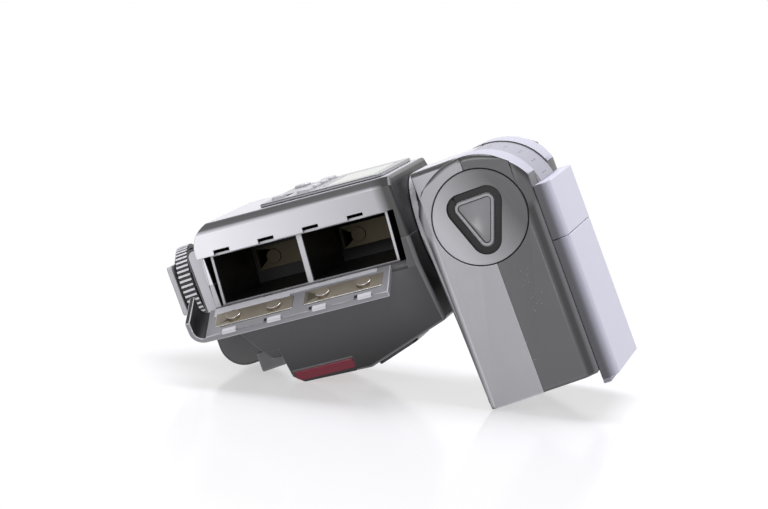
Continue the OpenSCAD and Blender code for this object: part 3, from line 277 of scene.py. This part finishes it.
def banded(name, stops, rough=0.3, tint=COOL, rim=None, end=None):
    """Plastic with painted light and shade across its rounded sides, whose tone follows stops of distance
    from the middle plane, in millimetres, and level.

    A rim about the tilt axis goes from its inner to its outer level instead, as painted shade, and an end may
    fade into painted shade."""
    f = Finish(name)
    side = f.side()
    colour = shade(stops[0][1], tint)
    for (near_mm, _), (far_mm, level) in zip(stops, stops[1:]):
        colour = f.blend(f.between(side, (near_mm, far_mm)), colour, shade(level, tint))
    if rim:
        inner, outer = rim
        around = f.blend(f.between(f.tilt_radius(), RIM_MM), shade(inner, tint), shade(outer, tint))
        colour = f.blend(f.ramp((0, 1, 0), RIM_FROM_MM), colour, around)
    if end:
        colour = f.fade_end(colour, end, tint)
    roughness = rough - 0.05 + 0.1 * f.noise(4)
    return f.surface(Base_Color=colour, Roughness=roughness, Normal=f.bump(f.noise(0.4), 0.004))


def swept(name, low, high, rough=0.34):
    """A turned disc: rings about the tilt axis, and painted light that fades to painted shade across it."""
    f = Finish(name)
    fade = f.ramp(FADE_DIRECTION, FADE_MM)
    rings = f.node("ShaderNodeTexNoise", {"W": f.tilt_radius(), "Scale": RINGS_PER_M, "Detail": 1.0},
                   noise_dimensions="1D")
    colour = f.blend(fade + 0.12 * rings - 0.06, shade(low), shade(high))
    return f.surface(Base_Color=colour, Roughness=rough - 0.05 + 0.1 * rings, Normal=f.bump(rings, 0.004))


def scaled(name, level, dark, line_mm, tick_mm, step_deg):
    """The drum: pale, with painted shade beyond a distance from the middle plane, toward the gaps at its
    ends, and a tick at each step of the tilt.
    """
    f = Finish(name)
    side = f.side()
    back = f.along("Y") - TILT_Y * MM
    up = f.along("Z") - TILT_Z * MM
    turn = f.node("ShaderNodeMath", {0: up, 1: back}, operation="ARCTAN2")
    steps = turn * (1 / math.radians(step_deg))
    past_step = f.node("ShaderNodeMath", {0: steps}, operation="FRACT")
    tick = (past_step > 0.9) * (side < tick_mm[1] * MM) * (side > tick_mm[0] * MM)
    plain = f.blend(f.noise(9), shade(level * 0.94, LAVENDER), shade(level, LAVENDER))
    marked = f.blend(tick * 0.8 + (side > line_mm * MM), plain, shade(dark))
    return f.surface(Base_Color=marked, Roughness=0.32 + 0.1 * f.noise(5), Normal=f.bump(f.noise(0.4), 0.004))


# Direction across the near disc in which its painted light falls to painted shade, and the span of the fall
# along it
FADE_DIRECTION = (0, 0.31, 0.95)
FADE_MM = (94, 118)

# Painted light and shade across the rounded sides of the shells and covers, as distances from the middle
# plane and levels
LOWER_BANDS = ((33.5, 0.07), (34.4, 0.1), (35.4, 0.45))
UPPER_BANDS = ((31.5, 0.17), (32.3, 0.13), (33.2, 0.03), (34.4, 0.03), (35.5, 0.1))
BACK_BANDS = ((33.4, 0.5), (34.4, 0.05), (36, 0.07), (37, 0.5))
COVER_BANDS = ((24, 0.58), (28.5, 0.5), (30.6, 0.2), (31.3, 0.04))

# Heights over which the body's side darkens toward the head as painted shade, and the level there
BACK_END = ((84.5, 88.5), 0.012)

# Radii between which the rim of the head's round back darkens as painted shade, and the places along Y where
# that rim sets in
RIM_MM = (19.3, 20.6)
RIM_FROM_MM = (TILT_Y - 3, TILT_Y)

# Clear and smoked red, the direction across the red pane's side, and the soft edge between them along it
RED = (0.16, 0.009, 0.025, 1)
RED_SMOKED = (0.02, 0.012, 0.016, 1)
PANE_ACROSS = (0, 0.996, 0.087)
PANE_EDGE_MM = (-39.65, -39.35)

BLACK = moulded("black_plastic", 0.008, 0.4, grain_mm=0.4, grain_deep=0.006, dust=0.06, gloss=0.2)
BLACK_EDGE = painted_edge("black_edge", 0.02, rough=0.24)
STEEL = metal("plated_steel", (0.62, 0.62, 0.63, 1))
STEEL_EDGE = metal("burnished_steel_edge", (0.72, 0.72, 0.73, 1), rough=0.2)
# The covers' tone is painted light: pale over the top, darkening to painted shade at the rounded sides
COVER = (banded("cover_shell", COVER_BANDS, 0.36, LAVENDER),) * 2

# Face finish and edge finish of each material slot; the edge finishes paint shade or highlights on the
# rounded edges
SLOT_FINISH = {
    "shell_grey": (moulded("grey_shell", 0.31), banded("grey_shell_edge", LOWER_BANDS, rim=(0.3, 0.04))),
    "shell_dark": (moulded("dark_shell", 0.085, 0.5, grain_mm=0.32, grain_deep=0.03),
                   painted_edge("dark_shell_edge", 0.05)),
    "cover_dark": COVER,
    "black_plastic": (BLACK, BLACK_EDGE),
    "rubber_grey": (moulded("satin_grey", 0.2, 0.34), painted_edge("satin_grey_edge", 0.42, 0.22)),
    "key_grey": (moulded("key_plastic", 0.5, 0.4), painted_edge("key_edge", 0.42)),
    "dark_clear": (polished("smoked_pane", (0.02, 0.018, 0.024, 1)), BLACK_EDGE),
    "clear_lens": (polished("clear_lens", (0.9, 0.9, 0.93, 1), 0.08, clear=0.85),) * 2,
    "lcd": (polished("display_pane", (0.3, 0.34, 0.27, 1), 0.06),) * 2,
    "board": (polished("lacquered_board", (0.03, 0.13, 0.06, 1), 0.3),) * 2,
    "capacitor_sleeve": (polished("shrunk_sleeve", (0.02, 0.03, 0.09, 1), 0.25),) * 2,
    "copper_wound": (moulded("taped_winding", 0.32, tint=(1.2, 0.6, 0.15)),) * 2,
    "steel": (STEEL, STEEL_EDGE),
    "gold": (metal("gold_flash", (0.78, 0.58, 0.24, 1), 0.2),) * 2,
    "mirror_metal": (metal("bright_reflector", (0.86, 0.86, 0.87, 1), 0.1),) * 2,
    "tube_glass": (polished("drawn_glass", (0.95, 0.95, 0.9, 1), 0.03, clear=0.95, ior=1.46),) * 2,
}
# Contacts deep in the bay: tarnished, and darkened further as painted shade
SHADED_TARNISHED = metal("shaded_tarnished_strip", (0.05, 0.043, 0.03, 1), 0.4)

# A light tone for the lid's raised step, and painted light on its hooks
LID_LIGHT = moulded("lid_step", 0.5, 0.3)
# The body's sides: painted light that falls off toward the head, and painted shade at the end there
BACK_SIDE = graded("body_side", 0.78, 0.3, (25, 90), end=BACK_END)
SCALE_DRUM = scaled("scale_drum", 0.3, 0.04, 15.2, (1, 4), 15)
# The cheeks' tops, painted light as from the lamp above
CHEEK_TOP_LIT = moulded("cheek_top_lit", 0.45, 0.36, tint=LAVENDER)
# The front shell: painted light and shade, darker toward the bulge's front and painted shade toward the head
FRONT = graded("front_shell", 0.008, 0.115, (-46, -13), (0, 1, 0), rough=0.5, grain_deep=0.02,
               end=((80, 91), 0.03))
RED_PANE = half_smoked("smoked_red_pane", RED, RED_SMOKED, PANE_EDGE_MM, PANE_ACROSS)

# Pieces whose finish differs from their slot's; paint picks the faces of a third and a fourth finish
PIECE_FINISH = {
    # The body's end toward the head is black as painted shade, and its sides carry painted light
    "back_shell": (graded("body_shell", 0.56, 0.46, (25, 90)),
                   banded("body_shell_edge", BACK_BANDS, end=BACK_END), BLACK, BACK_SIDE),
    # The front's end is black as painted shade, and the strip beside the wheel is painted light
    "front_shell": (FRONT, painted_edge("front_shell_edge", 0.1, 0.3), BLACK, moulded("side_strip", 0.5)),
    "af_window": (RED_PANE, RED_PANE, polished("smoked_red", RED)),
    # The neck's sides take painted light
    "neck": (moulded("neck_shell", 0.55, 0.38), painted_edge("neck_edge", 0.05),
             SCALE_DRUM, moulded("neck_side", 0.95)),
    "head_lower_shell": (*SLOT_FINISH["shell_grey"], CHEEK_TOP_LIT),
    "swivel_ring": (moulded("collar_plastic", 0.5, 0.4), BLACK_EDGE),
    "near_disc": (swept("disc_face", 0.39, 0.055), painted_edge("disc_edge", 0.012, gloss=0.2)),
    "head_upper_shell": (moulded("upper_shell", 0.075, 0.5, grain_mm=0.34, grain_deep=0.03),
                         banded("upper_edge", UPPER_BANDS, rim=(0.09, 0.02)), CHEEK_TOP_LIT),
    # The button's edge is a painted highlight, and its dish walls painted shade
    "tilt_release": (moulded("button_plastic", 0.2, 0.3), painted_edge("button_edge", 0.3, 0.24),
                     painted_edge("button_step", 0.03)),
    # The plinth's near side: painted light above, painted shade lower down under the lid
    "plinth": (*SLOT_FINISH["shell_dark"], graded("plinth_side", 0.05, 0.5, (-18, -9), (0, 1, 0))),
    # The wheel's grooves and edges are painted shade, and the tips of its teeth a painted highlight
    "lock_wheel": (moulded("wheel_grooves", 0.015, 0.3), painted_edge("wheel_edge", 0.03, 0.2),
                   moulded("wheel_teeth", 0.62, 0.24)),
    # The foot's pale tone is painted light
    "foot": (moulded("foot_plastic", 0.45, 0.3), painted_edge("foot_edge", 0.3, 0.2)),
    # The tray's outward rims take painted light
    "battery_tray": (BLACK, BLACK_EDGE, moulded("tray_rim", 0.5, 0.3)),
    "battery_door": (*SLOT_FINISH["rubber_grey"], BLACK, LID_LIGHT),
    "door_contacts": (metal("door_strip", (0.28, 0.25, 0.2, 1), 0.46), STEEL_EDGE),
    "cell_contacts": (SHADED_TARNISHED, SHADED_TARNISHED),
    "back_panel": (moulded("panel_plastic", 0.32, 0.3), painted_edge("panel_edge", 0.1, 0.24)),
    "terminal_cover": (moulded("cap_plastic", 0.07, 0.34), painted_edge("cap_edge", 0.14, 0.24)),
    "key_board": (polished("dark_board", (0.012, 0.014, 0.013, 1), 0.3),) * 2,
    "test_button": (moulded("lamp_button", 0.4, 0.3), painted_edge("lamp_button_edge", 0.5)),
    "wide_panel": (moulded("panel_lip", 0.16, 0.3, tint=LAVENDER),
                   painted_edge("panel_lip_edge", 0.3, tint=LAVENDER),
                   polished("diffuser_sheet", (0.85, 0.86, 0.9, 1), 0.35, clear=0.6)),
}
PIECE_FINISH["far_disc"] = PIECE_FINISH["near_disc"]


def finish_of(node):
    return PIECE_FINISH.get(node) or SLOT_FINISH[SLOT_OF[node]]


for node, cad in frame["nodes"].items():
    cad.data.materials.clear()
    cad.data.materials.append(finish_of(node)[0])


# Meshes

# Turns between which an edge is rounded, the turn that shades smooth, and the bend of an edge that goes on
LEAST_TURN = 28
MOST_TURN = 125
SMOOTH_TURN = math.radians(32)
CONTINUES = math.radians(150)

# Part of a face's width that a bevel may take, the distance for merging, and the turn of a flat face
BEVEL_SHARE = 0.45
MERGE_MM = 0.002
FLAT_TURN = math.radians(0.5)

# Fine rounding, in millimetres, of an edge that has no fillet
FINE_EDGE = 0.2

# Least part of a face's normal along the direction that it faces
FACING = 0.9


def merged_copy(node):
    """A copy of a solid's mesh, merged, with its flat faces whole."""
    bm = bmesh.new()
    bm.from_mesh(frame["nodes"][node].data)
    bmesh.ops.remove_doubles(bm, verts=bm.verts, dist=MERGE_MM * MM)
    join_flat_faces(bm)
    return bm


def join_flat_faces(bm):
    bmesh.ops.dissolve_limit(bm, angle_limit=FLAT_TURN, verts=bm.verts, edges=bm.edges)


def room_beside(edge):
    """Width of the bevel that the faces beside an edge leave room for."""
    least = math.inf
    for face in edge.link_faces:
        for vert in edge.verts:
            aside = next(e for e in vert.link_edges if e != edge and face in e.link_faces)
            along = edge.other_vert(vert).co - vert.co
            across = aside.other_vert(vert).co - vert.co
            bend = along.angle(across)
            if bend < CONTINUES:
                least = min(least, BEVEL_SHARE * across.length * math.sin(bend))
    return least


def weigh_edges(bm, radius_at):
    """Weights the outer edges for a bevel of the radius, in millimetres, that radius_at gives.

    Returns the widest bevel's width."""
    layer = bm.edges.layers.float.new("bevel_weight_edge")
    widths = {}
    for edge in bm.edges:
        if len(edge.link_faces) == 2:
            turn = math.degrees(edge.calc_face_angle_signed())
            if LEAST_TURN < turn < MOST_TURN:
                middle = (edge.verts[0].co + edge.verts[1].co) / (2 * MM)
                wanted = radius_at(middle, turn) * MM * math.tan(math.radians(turn / 2))
                if wanted:
                    widths[edge] = min(wanted, room_beside(edge))
    widest = max(widths.values())
    for edge, width in widths.items():
        edge[layer] = width / widest
    return widest


def add_piece(name, bm, node, replaces=(), width=0, segments=3):
    """Makes a piece of the mesh, with the finish, the body and the slot of that node."""
    mesh = bpy.data.meshes.new(name)
    bm.to_mesh(mesh)
    bm.free()
    mesh.shade_smooth()
    mesh.set_sharp_from_angle(angle=SMOOTH_TURN)
    for finish in finish_of(node):
        mesh.materials.append(finish)
    piece = bpy.data.objects.new(name, mesh)
    bpy.context.scene.collection.objects.link(piece)
    if width:
        bevel = piece.modifiers.new("rounded_edges", "BEVEL")
        bevel.limit_method = "WEIGHT"
        bevel.width = width
        bevel.segments = segments
        bevel.profile = 0.5
        bevel.material = 1
        bevel.use_clamp_overlap = False
        bevel.harden_normals = True
    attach(piece, BODY_OF[node])
    if replaces:
        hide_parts(*replaces)
    return piece


def dress(name, node, radius_at, segments=3, paint=None, shape=None):
    """Replaces a solid by its copy with rounded edges; paint picks each face's finish."""
    bm = merged_copy(node)
    if shape:
        shape(bm)
    if paint:
        for face in bm.faces:
            face.material_index = paint(face.calc_center_median() / MM, face.normal)
    width = weigh_edges(bm, radius_at)
    add_piece(name, bm, node, [node], width, segments)


def even(radius):
    """The same radius on every edge."""
    return lambda place, turn: radius


# Head

# Turns of a chamfer's edges, the range of its normal across the unit, and where side chamfers begin
CHAMFER_TURNS = (25, 65)
CHAMFER_NORMAL = (0.25, 0.97)
CHAMFER_X = 31

# Slack in millimetres for a place on a named surface
SLACK = 0.1

# The round back: radius, fillet, height from the axis where that ends, its fade, and where the back begins
ARC_RADIUS = 21.2
ARC_SLACK = 0.2
ARC_FILLET = 1.8
ARC_FADE_Z = 13
ARC_FADE_OVER = 6
ROUND_BACK_Y = -12

# The front: place, the window's opening in it, its fillet, and half the seam between the shells
FRONT_Y = -72.4
WINDOW_X = 30
WINDOW_Z = (100, 132)
FRONT_FILLET = 1.5
HALF_SEAM = 0.05

# The covers: the ledge under them and its back, their top, the reach of their inner edges, and roundings
LEDGE_Z = 131
LEDGE_BACK_Y = -20
COVER_TOP_Z = 141
COVER_INNER_X = 20
COVER_FILLET = 4.5
COVER_EDGE = 0.35
COVER_INNER_EDGE = 0.05

# The discs and the button: roundings, the button's face, its rim, and the wall and depth of its dish
DISC_EDGE = 0.35
BUTTON_FACE_X = -34.9
BUTTON_EDGE = 0.45
BUTTON_RIM = 0.8
DISH_WALL = 0.5
DISH_DEEP = 0.8

# The neck: top of its foot, lower side of the drum, half width of its block, roundings, the drum's limits
NECK_FOOT_Z = 97
DRUM_LOW_Z = 112
NECK_SIDE_X = 16
NECK_FOOT_EDGE = 0.25
NECK_FILLET = 1.6
DRUM_LEAST = 19
DRUM_NORMAL = 0.99

# The back of the pull-out panel's lip
LIP_BACK_Y = -75


def chamfered(turn):
    """True for the two edges of a chamfer, which are rounded into one fillet."""
    return CHAMFER_TURNS[0] < turn < CHAMFER_TURNS[1]


def on_arc(place):
    """True on the round back of the head, which is turned about the tilt axis."""
    return abs(math.hypot(place.y - TILT_Y, place.z - TILT_Z) - ARC_RADIUS) < ARC_SLACK


def head_radius(fillet, back_fillet):
    """Fillets on the chamfers, larger along the sides than round the back."""
    def radius_at(place, turn):
        if on_arc(place):
            fade = min(1, (ARC_FADE_Z - abs(place.z - TILT_Z)) / ARC_FADE_OVER)
            return ARC_FILLET * max(0, fade) if abs(place.x) > HALF_HEAD - SLACK else 0
        if abs(place.x) > CHAMFER_X and chamfered(turn):
            return fillet if place.y < ROUND_BACK_Y else back_fillet
        in_window = abs(place.x) <= WINDOW_X and WINDOW_Z[0] < place.z < WINDOW_Z[1]
        on_seam = abs(place.z - TILT_Z) <= HALF_SEAM
        return FRONT_FILLET if place.y < FRONT_Y and not in_window and not on_seam else FINE_EDGE
    return radius_at


def chamfer_paint(place, normal):
    """The chamfers along the sides take the edge finish, with its painted light and shade."""
    return 1 if abs(place.x) > CHAMFER_X and CHAMFER_NORMAL[0] < abs(normal.x) < CHAMFER_NORMAL[1] else 0


def head_paint(place, normal):
    """The round tops of the cheeks, up to the covers, take the third finish, which is painted light."""
    top = on_arc(place) or (place.z > LEDGE_Z and place.y > LEDGE_BACK_Y)
    return 2 if top and abs(normal.x) < 0.1 and normal.y > -0.3 else chamfer_paint(place, normal)


dress("lower_head_shell", "head_lower_shell", head_radius(2.4, 1.2), 4, head_paint)
dress("upper_head_shell", "head_upper_shell", head_radius(5, 1), 4, head_paint)


def disc_radius(place, turn):
    return DISC_EDGE if abs(place.x) > HALF_HEAD - SLACK else FINE_EDGE


def button_radius(place, turn):
    return BUTTON_EDGE if place.x < BUTTON_FACE_X else FINE_EDGE


def dish_button(bm):
    """Sinks the middle of the button's face below a rim; the dish's walls take painted shade."""
    top = max((face for face in bm.faces if face.normal.x < -FACING), key=lambda face: face.calc_area())
    bmesh.ops.inset_region(bm, faces=[top], thickness=BUTTON_RIM * MM, use_even_offset=True)
    walls = bmesh.ops.inset_region(bm, faces=[top], thickness=DISH_WALL * MM, depth=-DISH_DEEP * MM,
                                   use_even_offset=True)
    for wall in walls["faces"]:
        wall.material_index = 2


def cover_radius(place, turn):
    if chamfered(turn):
        return COVER_FILLET
    return COVER_EDGE if place.z > COVER_TOP_Z or abs(place.x) > COVER_INNER_X else COVER_INNER_EDGE


def neck_radius(place, turn):
    if place.z < NECK_FOOT_Z:
        return NECK_FOOT_EDGE
    return NECK_FILLET if place.z < DRUM_LOW_Z and abs(place.x) > NECK_SIDE_X else 0


def drum_paint(place, normal):
    """The drum, turned about the tilt axis, takes the third finish, and the neck's sides the fourth, which is
    painted light.
    """
    if abs(normal.x) > FACING and place.z < DRUM_LOW_Z:
        return 3
    out = Vector((0, place.y - TILT_Y, place.z - TILT_Z))
    on_drum = out.length > DRUM_LEAST and normal.dot(out.normalized()) > DRUM_NORMAL
    return 2 if on_drum and place.y > TILT_Y else 0


def sheet_paint(place, normal):
    """The sheet behind the pull-out panel's lip takes the third finish."""
    return 2 if place.y > LIP_BACK_Y else 0


def recess_paint(place, normal):
    """The recess round the button takes the dark edge finish as painted shade."""
    return 1 if place.x > SLACK - HALF_HEAD else 0


dress("near_tilt_disc", "near_disc", disc_radius, paint=recess_paint)
dress("far_tilt_disc", "far_disc", disc_radius)
dress("release_button", "tilt_release", button_radius, 4, shape=dish_button)
dress("rear_cover", "rear_top_cover", cover_radius, 4)
dress("front_cover", "front_top_cover", cover_radius, 4)
dress("pull_panel", "wide_panel", even(0.3), paint=sheet_paint)
dress("drum_and_neck", "neck", neck_radius, paint=drum_paint)
dress("window_lens", "flash_window", even(0.4))


def add_return_spring():
    """The coil under the release button, copied from its solid, with a mesh of its own."""
    press = next(joint for joint in RECORD["behaviour"]["joints"] if joint["name"] == "release_press")
    fixed_x = press["deforming_nodes"][0]["fixed_end_x_m"]
    coil = add_piece("return_spring", merged_copy("release_spring"), "release_spring", ["release_spring"])
    length = fixed_x - min(vert.co.x for vert in coil.data.vertices)
    1 - press["range_m"][1] / length
    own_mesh(coil)


add_return_spring()


# Body

# The end of the body that faces the head, and the roundings of both shells there
BODY_TOP_Z = 91.4
BACK_END_EDGE = 1.2
FRONT_END_EDGE = 1.3
END_NORMAL = 0.8

# The back shell's side chamfers, with their fillet, and the front of its edge toward the head
BACK_CHAMFER_X = 33
BACK_CHAMFER_Z = 30
BACK_FILLET = 4
BACK_END_Y = -6.5

# The front shell: its edge toward the head, the slopes above the plinth, and the sides of the bulge
FRONT_END_Y = -8
SLOPE_X = 28
SLOPE_Y = -14
SLOPE_Z = 34
BULGE_X = 20
BULGE_Y = -34
BULGE_TURNS = (55, 70)

# Limits of the strip beside the wheel, the tray's rims, the door's end wall and the wheel's tips
STRIP_Z = 24
STRIP_Y = -17
TRAY_RIM_X = -32.9
DOOR_WALL_Z = 20
WHEEL_TIPS = 13.85

# The open lid's inner face: its corner at the hinge, its directions and its width
LID_CORNER = Vector((-39.1, -8.7, 18))
LID_ALONG = Vector((0, -0.0872, 0.9962))
LID_NORMAL = Vector((-0.4226, 0.9029, 0.079))
LID_ACROSS = LID_ALONG.cross(LID_NORMAL)
LID_WIDE = 17
HOOK_PAST = 0.3

# The step and the black patches of painted shade on that face, along and across it, with their thickness
STEP_OUTLINE = ((2, 0.5), (60, 0.5), (60, 2.6), (29, 2.6), (29, 5.6), (2, 5.6))
STEP_THICK = 0.35
SHADE_PATCH_STARTS = (4.6, 20.7, 36.7, 52.7)
SHADE_PATCH_LONG = 1.3
SHADE_PATCH_FROM = 14.6
SHADE_PATCH_THICK = 0.15


def back_radius(place, turn):
    if chamfered(turn) and abs(place.x) > BACK_CHAMFER_X and place.z > BACK_CHAMFER_Z:
        return BACK_FILLET
    return BACK_END_EDGE if place.z > BODY_TOP_Z and place.y > BACK_END_Y else FINE_EDGE


def front_radius(place, turn):
    top_end = place.z > BODY_TOP_Z and place.y < FRONT_END_Y
    base_slope = abs(place.x) > SLOPE_X and place.y < SLOPE_Y and place.z < SLOPE_Z
    bulge = abs(place.x) > BULGE_X and place.y < BULGE_Y and BULGE_TURNS[0] < turn < BULGE_TURNS[1]
    return FRONT_END_EDGE if top_end or base_slope or bulge else FINE_EDGE


def shell_paint(place, normal):
    """The end toward the head is black as painted shade, the sides take the fourth finish with painted light,
    their chamfers the edge finish with painted shade.
    """
    if normal.z > END_NORMAL:
        return 2
    if abs(normal.x) > CHAMFER_NORMAL[1]:
        return 3
    return 0 if normal.z < -0.3 else chamfer_paint(place, normal)


def front_paint(place, normal):
    """The end that faces the head is black as painted shade, and the strip beside the wheel is painted light.
    """
    if normal.z > END_NORMAL:
        return 2
    return 3 if normal.x < -FACING and place.z < STRIP_Z and place.y > STRIP_Y else 0


def pane_paint(place, normal):
    """The red window's front takes the third finish."""
    return 2 if normal.y < -0.7 else 0


def tray_paint(place, normal):
    """The tray's rims, which face outward, take the third finish, which is painted light."""
    return 2 if normal.x < -FACING and place.x < TRAY_RIM_X else 0


def side_paint(place, normal):
    """The near side takes the third finish, painted light above and painted shade below."""
    return 2 if normal.x < -FACING else 0


def wheel_paint(place, normal):
    """The tips of the teeth take the third finish, a painted highlight, and the grooves keep painted shade.
    """
    return 2 if math.hypot(place.x, place.y) > WHEEL_TIPS and abs(normal.z) < 0.5 else 0


def door_paint(place, normal):
    """The door's end wall is black, and its hooks take the fourth finish, which is painted light."""
    if place.z < DOOR_WALL_Z:
        return 2
    return 3 if LID_ACROSS.dot(place - LID_CORNER) > LID_WIDE + HOOK_PAST else 0


def add_lid_step():
    """A raised strip beside the hinge, wider at its lower end, with a thin black patch beside each hook as
    painted shade for the notch there.
    """
    bm = bmesh.new()
    raise_plate(bm, STEP_OUTLINE, STEP_THICK, 3)
    for start in SHADE_PATCH_STARTS:
        end = start + SHADE_PATCH_LONG
        shade_patch = ((start, SHADE_PATCH_FROM), (end, SHADE_PATCH_FROM), (end, LID_WIDE), (start, LID_WIDE))
        raise_plate(bm, shade_patch, SHADE_PATCH_THICK, 2)
    add_piece("lid_step", bm, "battery_door")


def raise_plate(bm, outline, thick_mm, finish):
    """A plate on the lid's inner face; the outline is given along the lid and across it from the hinge."""
    corners = [LID_CORNER + along * LID_ALONG + across * LID_ACROSS for along, across in outline]
    low = bm.faces.new([bm.verts.new(corner * MM) for corner in corners])
    walls = bmesh.ops.extrude_face_region(bm, geom=[low], use_keep_orig=True)
    high = [item for item in walls["geom"] if isinstance(item, bmesh.types.BMVert)]
    bmesh.ops.translate(bm, vec=LID_NORMAL * thick_mm * MM, verts=high)
    bmesh.ops.recalc_face_normals(bm, faces=bm.faces)
    for face in {face for vert in high for face in vert.link_faces}:
        face.material_index = finish


dress("back_half", "back_shell", back_radius, 4, shell_paint)
dress("front_half", "front_shell", front_radius, 4, front_paint)
dress("base_plinth", "plinth", even(0.8), paint=side_paint)
dress("shoe_foot", "foot", even(0.3))
dress("locking_wheel", "lock_wheel", even(0.12), 2, wheel_paint)
dress("battery_lid", "battery_door", even(0.3), paint=door_paint)
add_lid_step()
dress("cell_tray", "battery_tray", even(0.2), paint=tray_paint)
dress("assist_window", "af_window", even(0.4), paint=pane_paint)
dress("sensor_pane", "sensor_window", even(0.5))
dress("terminal_cap", "terminal_cover", even(0.6))
dress("control_panel", "back_panel", even(0.5))
dress("display_glass", "lcd_window", even(0.3))
for number in range(1, 5):
    dress(f"key_cap_{number}", f"key_{number}", even(0.5))
dress("test_cap", "test_button", even(0.5))
dress("switch_knob", "power_switch", even(0.4))
dress("swivel_collar", "swivel_ring", even(0.4))
dress("lid_strips", "door_contacts", even(0.12), 2)
dress("tray_strips", "cell_contacts", even(0.12), 2)


# Camera

def add_camera():
    ray = Vector(((DISC_PX[0] - FRAME_W / 2) / FOCAL_PX, (DISC_PX[1] - FRAME_H / 2) / FOCAL_PX, 1))
    depth = FOCAL_PX / DISC_PX_PER_MM * MM
    disc = Vector((-HALF_HEAD, TILT_Y, TILT_Z)) * MM
    eye = disc - depth * (ray.x * VIEW_RIGHT - ray.y * VIEW_UP + ray.z * VIEW_FORWARD)
    data = bpy.data.cameras.new("camera")
    data.sensor_width = SENSOR_MM
    data.lens = FOCAL_PX / FRAME_W * SENSOR_MM
    data.clip_end = 20
    camera = bpy.data.objects.new("camera", data)
    turn = Matrix((VIEW_RIGHT, VIEW_UP, -VIEW_FORWARD)).transposed().to_4x4()
    camera.matrix_world = Matrix.Translation(eye) @ turn
    bpy.context.scene.collection.objects.link(camera)
    bpy.context.scene.camera = camera


add_camera()


# Floor, world and lamps

# The lines on which the unit lies, the floor's directions and half size, and its fade to white in metres
HEAD_TOUCH = Vector((0, -72.5, 97.1)) * MM
BULGE_TOUCH = Vector((0, -43.5, 36)) * MM
ACROSS = Vector((1, 0, 0))
FLOOR_UP = (BULGE_TOUCH - HEAD_TOUCH).cross(ACROSS).normalized()
if FLOOR_UP.y < 0:
    FLOOR_UP.negate()
FLOOR_SIZE = 6
GLOW_FROM = 0.1
GLOW_OVER = 0.2
GLOW_LEAST = 0.5

# Rays to which the background is white, and its level as soft light
WHITE_RAYS = ("Is Camera Ray", "Is Glossy Ray", "Is Transmission Ray")
AMBIENT = 0.3


def add_floor():
    """A glossy white sheet under the unit, which fades to plain white far off and is clear from below."""
    bm = bmesh.new()
    bmesh.ops.create_grid(bm, x_segments=1, y_segments=1, size=FLOOR_SIZE)
    turn = Matrix((ACROSS, FLOOR_UP.cross(ACROSS), FLOOR_UP)).transposed().to_4x4()
    bmesh.ops.transform(bm, matrix=Matrix.Translation(HEAD_TOUCH) @ turn, verts=bm.verts)
    mesh = bpy.data.meshes.new("floor")
    bm.to_mesh(mesh)
    bm.free()
    floor = bpy.data.objects.new("floor", mesh)
    bpy.context.scene.collection.objects.link(floor)
    f = Finish("white_acrylic")
    f.surface(Base_Color=(0.93, 0.93, 0.97, 1), Roughness=0.14)
    away = f.vector("DISTANCE", f.place, HEAD_TOUCH, "Value")
    glow = {"Value": away, "From Min": GLOW_FROM, "From Max": GLOW_FROM + GLOW_OVER, "To Min": GLOW_LEAST}
    fade = f.node("ShaderNodeMapRange", glow)
    white = f.node("ShaderNodeEmission")
    lit = f.node("ShaderNodeMixShader", {0: fade, 1: Wire(f, f.shader.outputs[0]), 2: white})
    clear = f.node("ShaderNodeBsdfTransparent")
    behind = f.node("ShaderNodeNewGeometry", output="Backfacing")
    f.feed(f.output.inputs["Surface"], f.node("ShaderNodeMixShader", {0: behind, 1: lit, 2: clear}))
    mesh.materials.append(f.material)


add_floor()


def add_world():
    """A background that is white to the camera and in gloss, and otherwise lights the unit softly."""
    world = bpy.data.worlds.new("studio")
    world.use_nodes = True
    bpy.context.scene.world = world
    sky = Nodes(world.node_tree)
    seen = sum(sky.node("ShaderNodeLightPath", output=ray) for ray in WHITE_RAYS)
    level = sky.node("ShaderNodeMapRange", {"Value": seen, "To Min": AMBIENT})
    background = world.node_tree.nodes["Background"]
    sky.feed(background.inputs["Color"], (1, 1, 1, 1))
    sky.feed(background.inputs["Strength"], level)


add_world()


def add_softbox(name, place, target, size, watts, colour=(1, 1, 1)):
    data = bpy.data.lights.new(name, "AREA")
    data.shape = "RECTANGLE"
    data.size, data.size_y = size
    data.energy = watts
    data.color = colour
    lamp = bpy.data.objects.new(name, data)
    lamp.location = place
    lamp.rotation_euler = (target - place).to_track_quat("-Z", "Y").to_euler()
    bpy.context.scene.collection.objects.link(lamp)


CENTRE = Vector((0, -20, 75)) * MM
add_softbox("top_softbox", CENTRE + Vector((0.2, 0.7, 0.4)), CENTRE, (0.7, 0.7), 9.5, (0.96, 0.95, 1))
add_softbox("front_softbox", CENTRE + Vector((-0.75, 0.22, 0.02)), CENTRE, (0.4, 0.4), 2.6)
bpy.context.scene.view_settings.view_transform = "Standard"
